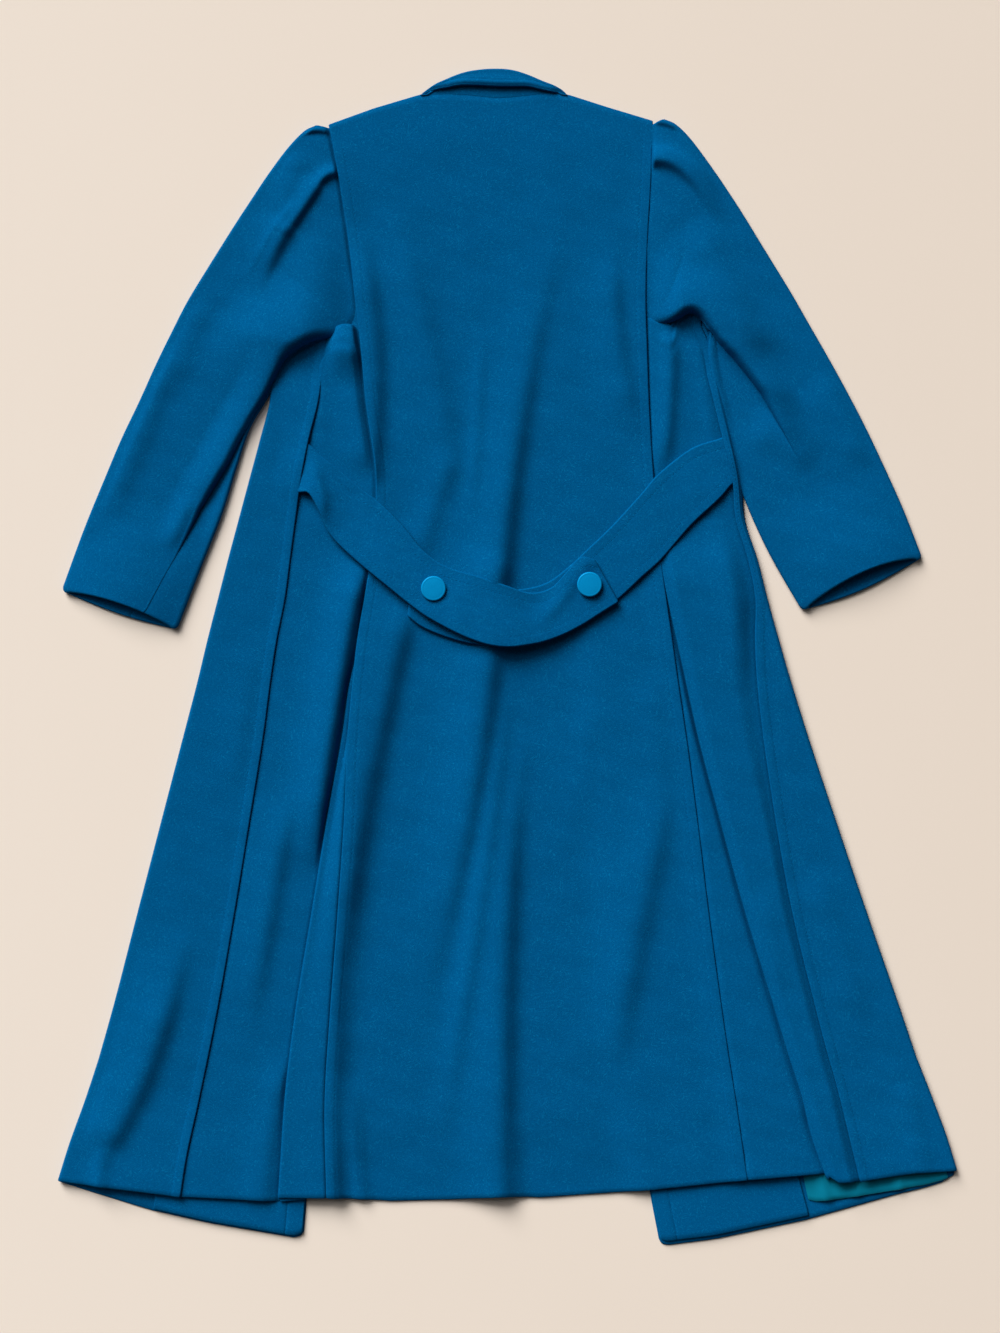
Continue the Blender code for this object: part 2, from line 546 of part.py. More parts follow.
def sleeve(side):
    """Two-piece sleeve pressed flat: the top sleeve takes the outer fold, the under sleeve the inner one."""
    stations = LEFT_SLEEVE if side == "left" else RIGHT_SLEEVE
    folds = LEFT_SLEEVE_FOLDS if side == "left" else RIGHT_SLEEVE_FOLDS
    outward = -1 if side == "left" else 1
    count = len(stations["loft"])
    outer = np.stack([stations["outer_x"], stations["outer_y"]], axis=-1)[:, None, :]
    inner = np.stack([stations["inner_x"], stations["inner_y"]], axis=-1)[:, None, :]
    length = np.linalg.norm(inner - outer, axis=-1)
    at_cuff = smoothstep((np.arange(count)[:, None] - count + 3) / 2)
    at_armhole = stations["back_seam"][:, None] == 1
    armhole_y = np.interp(np.arange(count), np.arange(len(ARMHOLE_LEVELS)), ARMHOLE_LEVELS)[:, None]
    armhole_x = along(armhole_y, FRONTS, side + "_armhole") + outward * ARMHOLE_GAP
    armhole = np.stack([armhole_x, armhole_y], axis=-1)
    turn = np.radians(np.linspace(-90, 90, 7)[1:-1])[None, :]
    rim = SLEEVE_RADIUS / length

    def spot(share, towards):
        """Points at shares of the way from the outer end towards another point."""
        return outer + (towards - outer) * share[..., None]

    def lowered(points, share):
        """Lower layer, a little longer than the upper one at the cuff."""
        points[..., 1] -= CUFF_DROP[side] * at_cuff * np.sin(math.pi * np.clip(share, 0, 1))
        return points

    def raised(points, share):
        """Upper layer, a little shorter at the cuff."""
        points[..., 1] += CUFF_RISE[side] * at_cuff * np.sin(math.pi * np.clip(share, 0, 1)) ** 0.7
        return points

    def fold_of(centre, way):
        """Shares and heights round one pressed edge of the sleeve."""
        share = centre + way * rim * np.cos(turn)
        height = FLOOR_LAYER + SLEEVE_RADIUS * (1 + np.sin(turn))
        return share, np.repeat(height, count, axis=0)

    # Top sleeve: front seam, surface layer, outer fold, upper layer, back seam or armhole.
    low_end = np.where(at_armhole, 1.0, stations["front_seam"][:, None] - SEAM_GAP / length)
    low_share = low_end + (rim - low_end) * np.linspace(0, 1, 4)[None, :]
    low = np.where(at_armhole[..., None], spot(low_share, armhole), spot(low_share, inner))
    fold_share, fold_height = fold_of(rim, -1)
    high_end = stations["back_seam"][:, None]
    high_share = rim + (high_end - rim) * np.linspace(0, 1, 9)[None, :]
    high = spot(high_share, inner)
    high_z = sleeve_top(high_share, stations, folds, high[..., 0], high[..., 1])
    points = np.concatenate(
        [lowered(low, low_share), spot(fold_share, inner), raised(high, high_share)], axis=1)
    height = np.hstack([np.full(low_share.shape, FLOOR_LAYER), fold_height, high_z])
    top = wall(side + "_top_sleeve", points[..., 0], points[..., 1], height, CLOTH)

    # Under sleeve: back seam, upper layer, inner fold, surface layer, front seam.
    start = int(at_armhole.sum())
    gap = SEAM_GAP / length
    high_share = high_end + gap + (1 - rim - high_end - gap) * np.linspace(0, 1, 4)[None, :]
    high = spot(high_share, inner)
    high_z = sleeve_top(high_share, stations, folds, high[..., 0], high[..., 1])
    fold_share, fold_height = fold_of(1 - rim, 1)
    low_share = 1 - rim + (stations["front_seam"][:, None] + gap - 1 + rim) * np.linspace(0, 1, 4)[None, :]
    low = spot(low_share, inner)
    points = np.concatenate(
        [raised(high, high_share), spot(fold_share[:, ::-1], inner), lowered(low, low_share)], axis=1)[start:]
    height = np.hstack([high_z, fold_height[:, ::-1], np.full(low_share.shape, FLOOR_LAYER)])[start:]
    under = wall(side + "_under_sleeve", points[..., 0], points[..., 1], height, CLOTH)
    return top, under


def collar():
    """Stand from the neck seam to the folded top line, and fall turned down over it."""
    x = np.linspace(COLLAR["x"][0], COLLAR["x"][-1], 15)[None, :]
    neck, fold, edge = (along(x, COLLAR, column, "x") for column in ("neck", "fold", "edge"))
    share = np.linspace(0, 1, 4)[:, None]
    stand_low, stand_top = neck + SEAM_GAP, fold - COLLAR_SEAM["stand"]
    stand_z = NECK_LAYER + 0.2 + (COLLAR_LAYER - NECK_LAYER - 0.2) * smoothstep(share) + 0 * x
    stand = wall("collar_stand", x, stand_low + (stand_top - stand_low) * share, stand_z, CLOTH, upright=True)

    turn = np.radians(np.linspace(-90, 90, 6))[:, None]
    centre = fold - CLOTH / 2 - COLLAR_RADIUS
    turn_y = np.maximum(centre + COLLAR_RADIUS * np.cos(turn), fold - COLLAR_SEAM["fall"])
    turn_z = COLLAR_LAYER + COLLAR_RADIUS * (1 + np.sin(turn)) + 0 * x
    down = np.linspace(0, 1, 5)[1:, None]
    fall_y = centre + (edge - centre) * down
    fall_z = COLLAR_LAYER + 2 * COLLAR_RADIUS - 0.5 * down + 0 * x
    fall = wall("collar_fall", x, np.vstack([turn_y, fall_y]), np.vstack([turn_z, fall_z]), CLOTH)
    return stand, fall


def drop_map(objects):
    """Search tree over some solids, for laying other pieces on them."""
    corners, faces = [], []
    for item in objects:
        start = len(corners)
        corners += [vertex.co.copy() for vertex in item.data.vertices]
        faces += [[start + index for index in face.vertices] for face in item.data.polygons]
    return BVHTree.FromPolygons(corners, faces)


def resting_height(tree, x, y, reach):
    """Highest surface, in millimetres, under a small round patch."""
    spots = [(0.0, 0.0)]
    for ring in (0.5, 1.0):
        spots += [(ring * reach * math.cos(angle), ring * reach * math.sin(angle))
                  for angle in np.linspace(0, 2 * math.pi, 12, endpoint=False)]
    heights = []
    for side_x, side_y in spots:
        hit = tree.ray_cast(Vector(((x + side_x) * MM, (y + side_y) * MM, 0.2)), Vector((0, 0, -1)))[0]
        heights.append(hit.z / MM if hit else 0.0)
    return max(heights)


def belt(name, sections, tree):
    """Belt half: a doubled strip that lies on whatever is under it."""
    across_belt = np.linspace(0, 1, 5)[None, :]
    stations = np.arange(len(sections["top_x"]), dtype=float)
    fine = np.linspace(0, stations[-1], 2 * len(stations) - 1)
    ends = {column: along(fine, {"level": stations, column: sections[column]}, column)[:, None]
            for column in BELT_COLUMNS.split()}
    x = ends["top_x"] + (ends["low_x"] - ends["top_x"]) * across_belt
    y = ends["top_y"] + (ends["low_y"] - ends["top_y"]) * across_belt
    rest = np.array([[resting_height(tree, *spot, BELT_PATCH) for spot in zip(*row)] for row in zip(x, y)])
    return wall(name, x, y, rest + LAY_GAP + BELT_CLOTH / 2, BELT_CLOTH, upright=True)


def button(name, centre, tree):
    """Turned button with a low dome inside a rounded rim."""
    mesh = bmesh.new()
    spots = zip(BUTTON_PROFILE["radius"] * MM, BUTTON_PROFILE["height"] * MM)
    corners = [mesh.verts.new((radius, 0, height)) for radius, height in spots]
    for start, end in zip(corners, corners[1:]):
        mesh.edges.new((start, end))
    made = place(name, mesh)
    turn = made.modifiers.new("turn", "SCREW")
    turn.steps = turn.render_steps = BUTTON_STEPS
    turn.use_merge_vertices = True
    turn.merge_threshold = 0.00005
    seat = resting_height(tree, *centre, BUTTON_RADIUS)
    made.location = (centre[0] * MM, centre[1] * MM, (seat + SEAM_GAP) * MM)
    return made


for old in list(bpy.data.objects):
    bpy.data.objects.remove(old, do_unlink=True)
coat = bpy.data.collections.new("long_coat")
bpy.context.scene.collection.children.link(coat)

wool = finish("wool_melton", COAT_BLUE, 0.9)
satin = finish("lining_satin", LINING_TEAL, 0.35)
polished = finish("button_blue", BUTTON_BLUE, 0.3)

cloth = [back_panel(), left_side_back(), right_side_back()]
for hand in ("left", "right"):
    cloth += [front(hand), facing(hand), *sleeve(hand)]
cloth += collar()
lining = right_lining()

body = list(cloth)
right_belt = belt("right_belt", RIGHT_BELT, drop_map(body))
left_belt = belt("left_belt", LEFT_BELT, drop_map(body + [right_belt]))
cloth += [right_belt, left_belt]
buttons = [button(name, centre, drop_map([left_belt])) for name, centre in BUTTON_CENTRES.items()]

for piece in cloth:
    piece.data.materials.append(wool)
lining.data.materials.append(satin)
for piece in buttons:
    piece.data.materials.append(polished)
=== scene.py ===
"""Looks of a long wool coat that lies flat on its front, back upwards.

Tables hold real sizes in millimetres, and meshes are in metres. Left and right are as seen from above, with
the collar away from the viewer (+Y), the hem near (-Y) and the surface that the coat lies on at Z = 0.
"""

import math

import bpy
import numpy as np
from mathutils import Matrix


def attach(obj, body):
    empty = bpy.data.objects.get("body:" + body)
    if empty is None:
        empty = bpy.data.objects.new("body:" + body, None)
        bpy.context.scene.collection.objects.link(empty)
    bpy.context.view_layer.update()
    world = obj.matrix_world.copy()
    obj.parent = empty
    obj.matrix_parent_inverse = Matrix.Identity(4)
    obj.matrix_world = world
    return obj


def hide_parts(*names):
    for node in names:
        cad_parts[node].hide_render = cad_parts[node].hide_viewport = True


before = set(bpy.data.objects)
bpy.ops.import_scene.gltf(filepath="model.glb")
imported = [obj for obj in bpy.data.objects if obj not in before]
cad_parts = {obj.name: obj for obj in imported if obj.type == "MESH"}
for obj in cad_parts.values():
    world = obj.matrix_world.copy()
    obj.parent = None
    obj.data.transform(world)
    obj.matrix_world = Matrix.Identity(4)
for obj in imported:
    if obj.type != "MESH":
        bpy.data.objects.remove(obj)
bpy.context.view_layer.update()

# Fronts
# Each front is one cut of milled wool. From its edge it lies on the surface, turns up at the outline fold and
# comes back on top as a strip, which is lapped and topstitched over the side back.
MM = 0.001
OUTWARD = {"left": -1, "right": 1}
CLOTH = 2.0
FLOOR_LAYER = CLOTH / 2
SIDE_LAYER = 5.6
STRIP_LAYER = 6.8
SHOULDER_LEVEL, SHOULDER_BLEND = 600.0, 520.0
SHOULDER_TUCK = 0.5
HEM_LEVEL, HEM_BLEND = -605.0, -450.0
UNDERARM_LEVEL = 396.0
LEVELS = np.concatenate([np.linspace(SHOULDER_LEVEL, UNDERARM_LEVEL, 42),
                         np.linspace(UNDERARM_LEVEL, HEM_LEVEL, 202)[1:]])
STITCH, STITCH_GAP, STITCH_RADIUS = 3.4, 1.2, 0.32
STITCH_INSET, STITCH_COLUMN = 10.0, 7
STITCH_TOP = 345.0
EDGE_LINES = np.array([0, 0.8, 2.2, 4.5, 7.2, 8.8, 9.5, 10, 10.5, 11.2, 13, 16.5])
CORNER_LINES = np.array([0, 1.2, 2.6, 4.5, 7, 11])
NO_LINES = np.array([0.0])
ARCH_DROP, ARCH_RAMP = 4.2, (288.0, 48.0)
FOLD_CLEAR = 22.0
STRIP_LIFT, STRIP_LIFT_REACH = 3.0, 60.0
HEM_LIFT_RAMP = -490.0, -110.0
BELT_END = {"left": 213.0, "right": 221.0}
BELT_LIFT, BELT_LIFT_SPAN, BELT_LIFT_REACH = 4.5, 38.0, 35.0
SEAM_LIFT, SEAM_LIFT_RAMP = 1.0, (14.0, -12.0)
FLAP_LIFT, FLAP_LIFT_RAMP, FLAP_LIFT_REACH = 2.4, (60.0, -160.0), 60.0
FRONT_CUT = {"left": ((0.42, 1.30), 0.317), "right": ((0.45, 1.30), 0.318)}


def table(columns, *rows):
    """Named columns of a short table, a row for each section or fold."""
    return dict(zip(columns.split(), np.array(rows, float).T))


SIDES = table(
    "level left_fold left_seam left_pleat left_depth right_pleat right_depth right_seam right_fold",
    (372, -210, -201, -160, 6, 160, 6, 208, 222),
    (350, -236.5, -204.5, -160, 6, 160, 6, 217.5, 230.5),
    (335, -247, -206.5, -160, 6, 160, 6, 221, 232.5),
    (312, -259.5, -209.5, -160, 6, 162, 6, 226, 235),
    (300, -265, -211, -159, 6, 162, 6, 229, 238),
    (290, -266, -212.5, -158, 6, 162, 6, 231.5, 240.5),
    (245, -277, -223.5, -155, 6, 164, 6, 242, 251),
    (200, -289, -232, -150, 6, 166, 6, 253, 260.5),
    (155, -301, -238.5, -150, 6, 169, 6, 257, 265.5),
    (110, -313, -244.5, -152, 6, 173.5, 8, 270.5, 280),
    (65, -324.5, -250.5, -157, 6, 182, 11, 279, 291.5),
    (20, -336, -259.5, -163, 6, 192, 14, 278.5, 304),
    (-30, -348, -267, -175, 6, 203, 17, 281, 318.5),
    (-80, -361, -273.5, -182, 7, 214, 20, 286.5, 334),
    (-180, -387, -289.5, -200, 10, 240, 24, 301, 367),
    (-290, -415.5, -307.5, -218, 16, 270, 26, 321, 404),
    (-400, -444, -327, -236, 22, 303.5, 24, 348, 442),
    (-500, -473, -347.5, -248, 25, 332.5, 20, 373.5, 475),
    (-560, -492, -360.5, -252, 26, 345.5, 16, 386, 493),
    (-605, -504.1, -367.5, -255, 26, 360, 12, 395.5, 504),
)
FRONTS = table(
    "level left_edge left_armhole right_armhole right_edge facing_width",
    (600, -89, -198, 161, 61, 50),
    (540, -96, -192, 159, 66, 56),
    (470, -104, -187, 158, 72, 62),
    (435, -108, -187, 160, 75, 66),
    (400, -112, -193, 178, 78, 70),
    (372, -116, -207, 214, 80, 72),
    (110, -146, -207, 214, 103, 92),
    (-180, -180, -207, 214, 126, 124),
    (-450, -211.5, -207, 214, 147, 156),
    (-560, -225, -207, 214, 160, 164),
    (-605, -230, -207, 214, 171, 166),
)
SHOULDER = table(
    "x top", (-200, 598), (-150, 616), (-98, 631.5), (-67, 632.5), (-44, 631.3), (-14, 628),
    (5, 628.9), (24, 631), (38, 632.8), (52, 632.4), (68, 631.5), (110, 618), (163, 602))
UPPER_HEM = table(
    "x hem", (-505, -587), (-367, -604.5), (-252, -610), (-202, -605), (-130, -610), (-60, -608), (-8, -604),
    (36, -606), (104, -601.5), (150, -598), (268, -585.5), (355, -578), (372, -588), (395, -586.5),
    (430, -581.5), (458, -577.5), (490, -576.5), (504, -575.5))
LOWER_HEM = {
    "left": table("x hem", (-505, -588), (-470, -599), (-402, -620), (-335, -635), (-241, -651),
                  (-236, -650.5), (-232.5, -648.5), (-230, -645)),
    "right": table("x hem", (171, -653), (173, -657), (176, -659), (181, -659.5), (233, -653), (335, -631.5),
                   (436, -603), (470, -595), (490, -588.5), (499, -584), (504, -577.5)),
}
FOLD_COLUMNS = "start_x start_y middle_x middle_y end_x end_y height steep reach grow fade"
FRONT_FOLDS = table(
    FOLD_COLUMNS,
    (-350, -284, -393, -453, -458, -582, 10, 4.5, 40, 0.4, 0.2),
    (-276, 20, -290, -70, -305, -160, 2, 6, 24, 0.3, 0.3),
    (-449, -554, -454, -599, -458, -667, 5, 3, 10, 0.3, 0.05),
    (346, -228, 381, -318, 417, -442, 3.5, 6, 28, 0.3, 0.3),
    (447, -475, 462, -532, 475, -633, 2.5, 5, 20, 0.3, 0.05),
)


def smoothstep(share):
    """Ease from 0 to 1 with level ends: three times the square less twice the cube."""
    share = np.clip(share, 0, 1)
    return share * share * (3 - 2 * share)


def ramp(at, start, run):
    """Ease from 0 at the start to 1 a run further on, which is on the low side where the run is negative."""
    return smoothstep((at - start) / run)


def along(at, sizes, column, key="level"):
    """Size at a place, on a smooth curve through the rows of a table, with slopes from their neighbours."""
    order = np.argsort(sizes[key])
    knots, values = sizes[key][order], sizes[column][order]
    slopes = np.gradient(values, knots)
    at = np.clip(at, knots[0], knots[-1])
    start = np.clip(np.searchsorted(knots, at, side="right") - 1, 0, len(knots) - 2)
    span = knots[start + 1] - knots[start]
    share = (at - knots[start]) / span
    ease = smoothstep(share)
    leave = slopes[start] * span * share * (1 - share) ** 2
    arrive = slopes[start + 1] * span * share ** 2 * (share - 1)
    return values[start] * (1 - ease) + values[start + 1] * ease + leave + arrive


def across(x, sizes, column):
    """Size at a place across the coat, on straight runs between the rows of a table."""
    return np.interp(x, sizes["x"], sizes[column])


def row_line(level, top, hem):
    """Y of a row: its level, stretched to meet the shoulder line above and the hem below."""
    upper = (level - SHOULDER_BLEND) / (SHOULDER_LEVEL - SHOULDER_BLEND)
    lower = (level - HEM_BLEND) / (HEM_LEVEL - HEM_BLEND)
    above = SHOULDER_BLEND + upper * (top - SHOULDER_BLEND)
    below = HEM_BLEND + lower * (hem - HEM_BLEND)
    return np.where(level > SHOULDER_BLEND, above, np.where(level < HEM_BLEND, below, level))


def beside(x, y, line):
    """Distance of points from a line of short runs, plus on its left and minus on its right, and their place.

    Each point belongs to its nearest run, and its place counts runs from the start of the line.
    """
    run = np.diff(line, axis=0)
    offset = np.stack(np.broadcast_arrays(x, y), axis=-1)[..., None, :] - line[:-1]
    share = np.clip((offset * run).sum(axis=-1) / (run ** 2).sum(axis=-1), 0, 1)
    gap = offset - share[..., None] * run
    distance = np.hypot(gap[..., 0], gap[..., 1])
    aside = distance * np.sign(run[:, 0] * gap[..., 1] - run[:, 1] * gap[..., 0])
    nearest = distance.argmin(axis=-1)[..., None]
    aside, share = (np.take_along_axis(values, nearest, axis=-1)[..., 0] for values in (aside, share))
    return aside, nearest[..., 0] + share


def fold_relief(x, y, folds):
    """Sum of folds. Each one follows a curve through start, middle and end, grows over its first share of the
    way and fades over its last.

    Across the curve the cloth drops in an S of the given steepness, from the high side on the right of the
    way to the low side on its left, which is +X on a fold that runs towards the hem. The high side eases off
    over its reach.
    """
    runs, flat = 24, 40
    steps = np.linspace(0, 1, runs + 1)
    weights = {"start": (1 - steps) * (1 - 2 * steps), "middle": 4 * steps * (1 - steps),
               "end": steps * (2 * steps - 1)}
    relief = 0
    for row in range(len(folds["height"])):
        fold = {name: column[row] for name, column in folds.items()}
        line = np.stack([sum(weight * fold[spot + axis] for spot, weight in weights.items())
                         for axis in ("_x", "_y")], axis=-1)
        aside, place = beside(x, y, line)
        place = place / runs
        drop = 1 / (1 + np.exp(np.clip(aside / fold["steep"], -flat, flat)))
        ease = np.exp(-(np.minimum(aside, 0) / fold["reach"]) ** 2)
        ends = smoothstep(place / fold["grow"]) * smoothstep((1 - place) / fold["fade"])
        relief = relief + fold["height"] * drop * ease * ends
    return relief


def slack(x, y):
    """Slight unevenness of cloth laid by hand: a few long waves that cross each other."""
    height = 0.13
    waves = ((83, 31, 0.3), (140, -60, 1.9), (61, 190, 4.1), (230, 97, 2.2))
    return sum(height * np.sin(2 * math.pi * (x / across_x + y / across_y) + phase)
               for across_x, across_y, phase in waves)


def seam_band(inset):
    """Relief beside a topstitched edge: the doubled allowance stands up, and the stitches pull a groove."""
    height, past_stitch, ease = 0.2, 3, 5
    depth, width = 0.25, 0.9
    allowance = height * smoothstep((STITCH_INSET + past_stitch - inset) / ease)
    groove = depth * np.exp(-((inset - STITCH_INSET) / width) ** 2)
    return allowance - groove


def half_turn(count):
    """Angles of the points between the two ends of a half turn, as a row."""
    return np.radians(np.linspace(-90, 90, count + 2)[1:-1])[None, :]


def ruled(start, end, count, lead=EDGE_LINES, trail=EDGE_LINES):
    """Grid lines from start to end: close ones beside either edge, and even ones between."""
    room = np.abs(end - start) / (1.2 * (lead[-1] + trail[-1]) + 1)
    way = np.sign(end - start) * np.minimum(room, 1)
    first, last = start + way * lead[-1], end - way * trail[-1]
    middle = first + (last - first) * np.linspace(0, 1, count)[None, :]
    return np.hstack([start + way * lead[:-1], middle, end - way * trail[-2::-1]])


def cloth_shell(name, middle, thick, kept=None):
    """Closed shell about a grid of middle points; kept marks the cells that are cloth.

    Each point moves half the thickness both ways along the grid's normal. A third ring, half the thickness
    outside the boundary, rounds the edge.
    """
    rows, columns = middle.shape[:2]
    normal = np.cross(np.gradient(middle, axis=1), np.gradient(middle, axis=0))
    normal = (normal / np.linalg.norm(normal, axis=-1, keepdims=True)).reshape(-1, 3)
    middle = middle.reshape(-1, 3)
    index = np.arange(rows * columns).reshape(rows, columns)
    cells = np.stack([index[:-1, :-1], index[:-1, 1:], index[1:, 1:], index[1:, :-1]], axis=-1).reshape(-1, 4)
    if kept is not None:
        cells = cells[kept.ravel()]
    used, cells = np.unique(cells, return_inverse=True)
    cells = cells.reshape(-1, 4)
    middle, normal, count = middle[used], normal[used], len(used)
    edges = np.stack([cells, np.roll(cells, -1, axis=1)], axis=-1).reshape(-1, 2)
    rim = edges[~np.isin(edges[:, 0] * count + edges[:, 1], edges[:, 1] * count + edges[:, 0])]
    outward = np.zeros_like(middle)
    push = np.cross(middle[rim[:, 1]] - middle[rim[:, 0]], normal[rim[:, 0]])
    np.add.at(outward, rim[:, 0], push)
    np.add.at(outward, rim[:, 1], push)
    border = np.unique(rim)
    outward = outward[border] / np.linalg.norm(outward[border], axis=-1, keepdims=True)
    ring = np.full(count, -1)
    ring[border] = 2 * count + np.arange(len(border))
    half = normal * thick / 2
    points = np.vstack([middle + half, middle - half, middle[border] + outward * thick / 2])
    start, end = rim[:, 0], rim[:, 1]
    faces = np.vstack([
        cells, cells[:, ::-1] + count,
        np.stack([end, start, ring[start], ring[end]], axis=-1),
        np.stack([ring[end], ring[start], start + count, end + count], axis=-1)])
    return piece_of(name, points, faces.tolist())


def piece_of(name, points, faces):
    """Smooth-shaded object at the origin from points in millimetres and faces as lists of corner numbers."""
    mesh = bpy.data.meshes.new(name)
    mesh.from_pydata((points * MM).tolist(), [], faces)
    mesh.shade_smooth()
    piece = bpy.data.objects.new(name, mesh)
    bpy.context.scene.collection.objects.link(piece)
    return piece


def dress(piece, material, node=None):
    """Give a piece its finish and its place on the coat's one body, and hide the solid that it stands for."""
    piece.data.materials.append(material)
    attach(piece, "root")
    if node:
        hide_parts(node)
    return piece


def feed(tree, socket, value):
    """Join an input socket to an output, or else set its value."""
    if isinstance(value, bpy.types.NodeSocket):
        tree.links.new(value, socket)
    else:
        socket.default_value = value


def shade(tree, kind, **values):
    """New shader node, with its inputs fed and its properties set by name."""
    made = tree.nodes.new("ShaderNode" + kind)
    for name, value in values.items():
        socket = name.replace("_", " ").title()
        if socket in made.inputs:
            feed(tree, made.inputs[socket], value)
        else:
            setattr(made, name, value)
    return made


def math_node(tree, operation, *inputs, kind="Math"):
    """Math node fed with its inputs in order; returns its output."""
    made = shade(tree, kind, operation=operation)
    for socket, value in zip(made.inputs, inputs):
        feed(tree, socket, value)
    return made.outputs[0]


def blend(tree, share, low, high):
    """Mix of two colours by a share; the node's colour sockets come after those for numbers and vectors."""
    made = shade(tree, "Mix", data_type="RGBA", factor=share)
    feed(tree, made.inputs[6], low)
    feed(tree, made.inputs[7], high)
    return made.outputs[2]


def finish_of(name):
    """New material, its node tree and the object coordinates that its textures lie on."""
    made = bpy.data.materials.new(name)
    made.use_nodes = True
    return made, made.node_tree, shade(made.node_tree, "TexCoord").outputs["Object"]


def surface(tree, values):
    """Feed the inputs of a material's surface shader by name."""
    shader = tree.nodes["Principled BSDF"]
    for name, value in values.items():
        feed(tree, shader.inputs[name], value)


def wool_nap_group():
    """Milled wool surface: mottled dye, short fibres that lie every way, and a fine nap.

    Fibres are noise stretched along one direction, which is turned by a random angle in each small cell.
    """
    group = bpy.data.node_groups.new("wool_nap", "ShaderNodeTree")
    sockets = {"INPUT": {"Vector": "Vector", "Dye": "Color", "Fibre": "Color"},
               "OUTPUT": {"Colour": "Color", "Roughness": "Float", "Height": "Float"}}
    for way, kinds in sockets.items():
        for name, kind in kinds.items():
            group.interface.new_socket(name, in_out=way, socket_type="NodeSocket" + kind)
    given, result = group.nodes.new("NodeGroupInput").outputs, group.nodes.new("NodeGroupOutput").inputs
    spot = given["Vector"]

    mottle = shade(group, "TexNoise", vector=spot, scale=26.0, detail=3.0, roughness=0.55).outputs[0]
    nap = shade(group, "TexNoise", vector=spot, scale=620.0, detail=2.0, roughness=0.6).outputs[0]
    cells = shade(group, "TexVoronoi", vector=spot, scale=150.0)
    hue = shade(group, "SeparateColor", color=cells.outputs["Color"]).outputs[0]
    angle = math_node(group, "MULTIPLY", hue, 2 * math.pi)
    turned = shade(group, "VectorRotate", rotation_type="Z_AXIS", vector=spot, angle=angle,
                   center=cells.outputs["Position"]).outputs[0]
    stretched = math_node(group, "MULTIPLY", turned, (260.0, 1700.0, 900.0), kind="VectorMath")
    streak = shade(group, "TexNoise", vector=stretched, scale=1.0, detail=1.0).outputs[0]
    fibre = shade(group, "MapRange", interpolation_type="SMOOTHSTEP", value=streak,
                  from_min=0.55, from_max=0.74, to_min=0.0, to_max=0.6).outputs[0]
    mottled = math_node(group, "MULTIPLY_ADD", mottle, 0.12, 0.94)
    grain = math_node(group, "MULTIPLY_ADD", nap, 0.5, 0.75)
    dye = shade(group, "VectorMath", operation="SCALE", vector=given["Dye"],
                scale=math_node(group, "MULTIPLY", mottled, grain)).outputs[0]
    feed(group, result["Colour"], blend(group, fibre, dye, given["Fibre"]))
    feed(group, result["Roughness"], math_node(group, "MULTIPLY_ADD", nap, 0.16, 0.78))
    feed(group, result["Height"], math_node(group, "ADD", nap, streak))
    return group


def wool_finish(name, dye, fibre):
    """Wool of one dye: the nap group on object coordinates, with a soft sheen and a shallow bump."""
    made, tree, spot = finish_of(name)
    nap = shade(tree, "Group", node_tree=wool_nap, vector=spot, dye=(*dye, 1.0), fibre=(*fibre, 1.0)).outputs
    bump = shade(tree, "Bump", strength=0.35, distance=0.0006, height=nap["Height"]).outputs[0]
    surface(tree, {"Base Color": nap["Colour"], "Roughness": nap["Roughness"], "Normal": bump,
                   "Specular IOR Level": 0.0, "Sheen Weight": 0.06, "Sheen Roughness": 0.45,
                   "Sheen Tint": (0.02, 0.45, 0.85, 1.0)})
    return made


wool_nap = wool_nap_group()
wool = wool_finish("wool_melton", dye=(0.0004, 0.082, 0.225), fibre=(0.003, 0.18, 0.39))
thread = wool_finish("wool_thread", dye=(0.0005, 0.098, 0.26), fibre=(0.003, 0.18, 0.39))


def sew(node, points, flat, area, rests_on, thick=CLOTH, kept=None,
        cloth="wool", finish=wool, slot="wool_melton"):
    """Cloth piece in place of a solid: a closed shell about its middle points."""
    piece = dress(cloth_shell(f"{cloth}_{node}", points, thick, kept), finish, node)


def stitch_rows(name, rows):
    """Stitches along rows of points: six-sided spindles laid end to end with a gap, and half sunk in."""
    along_stitch = np.array([0, 0.15, 0.5, 0.85, 1.0]) * STITCH
    profile = np.array([0.25, 0.85, 1.0, 0.85, 0.25]) * STITCH_RADIUS
    turn = np.radians(np.arange(0, 360, 60))
    rings = []
    for row in rows:
        length = np.concatenate([[0], np.cumsum(np.linalg.norm(np.diff(row, axis=0), axis=1))])
        starts = np.arange(0, length[-1] - STITCH, STITCH + STITCH_GAP)
        at = starts[:, None] + along_stitch
        centre = np.stack([np.interp(at, length, row[:, axis]) for axis in range(3)], axis=-1)
        way = centre[:, -1] - centre[:, 0]
        aside = np.stack([-way[:, 1], way[:, 0], 0 * way[:, 0]], axis=-1)
        aside = (aside / np.linalg.norm(aside, axis=-1, keepdims=True))[:, None, None, :]
        radius = profile[None, :, None, None]
        spread = np.cos(turn)[:, None] * aside + np.sin(turn)[:, None] * np.array([0, 0, 1.0])
        rings.append(centre[:, :, None, :] + radius * spread)
    points = np.concatenate(rings)
    count, steps, sides = points.shape[:3]
    index = np.arange(points.size // 3).reshape(count, steps, sides)
    after = np.roll(index, -1, axis=2)
    walls = np.stack([index[:, :-1], after[:, :-1], after[:, 1:], index[:, 1:]], axis=-1).reshape(-1, 4)
    ends = np.vstack([index[:, 0, ::-1], index[:, -1]])
    return piece_of(name, points.reshape(-1, 3), walls.tolist() + ends.tolist())


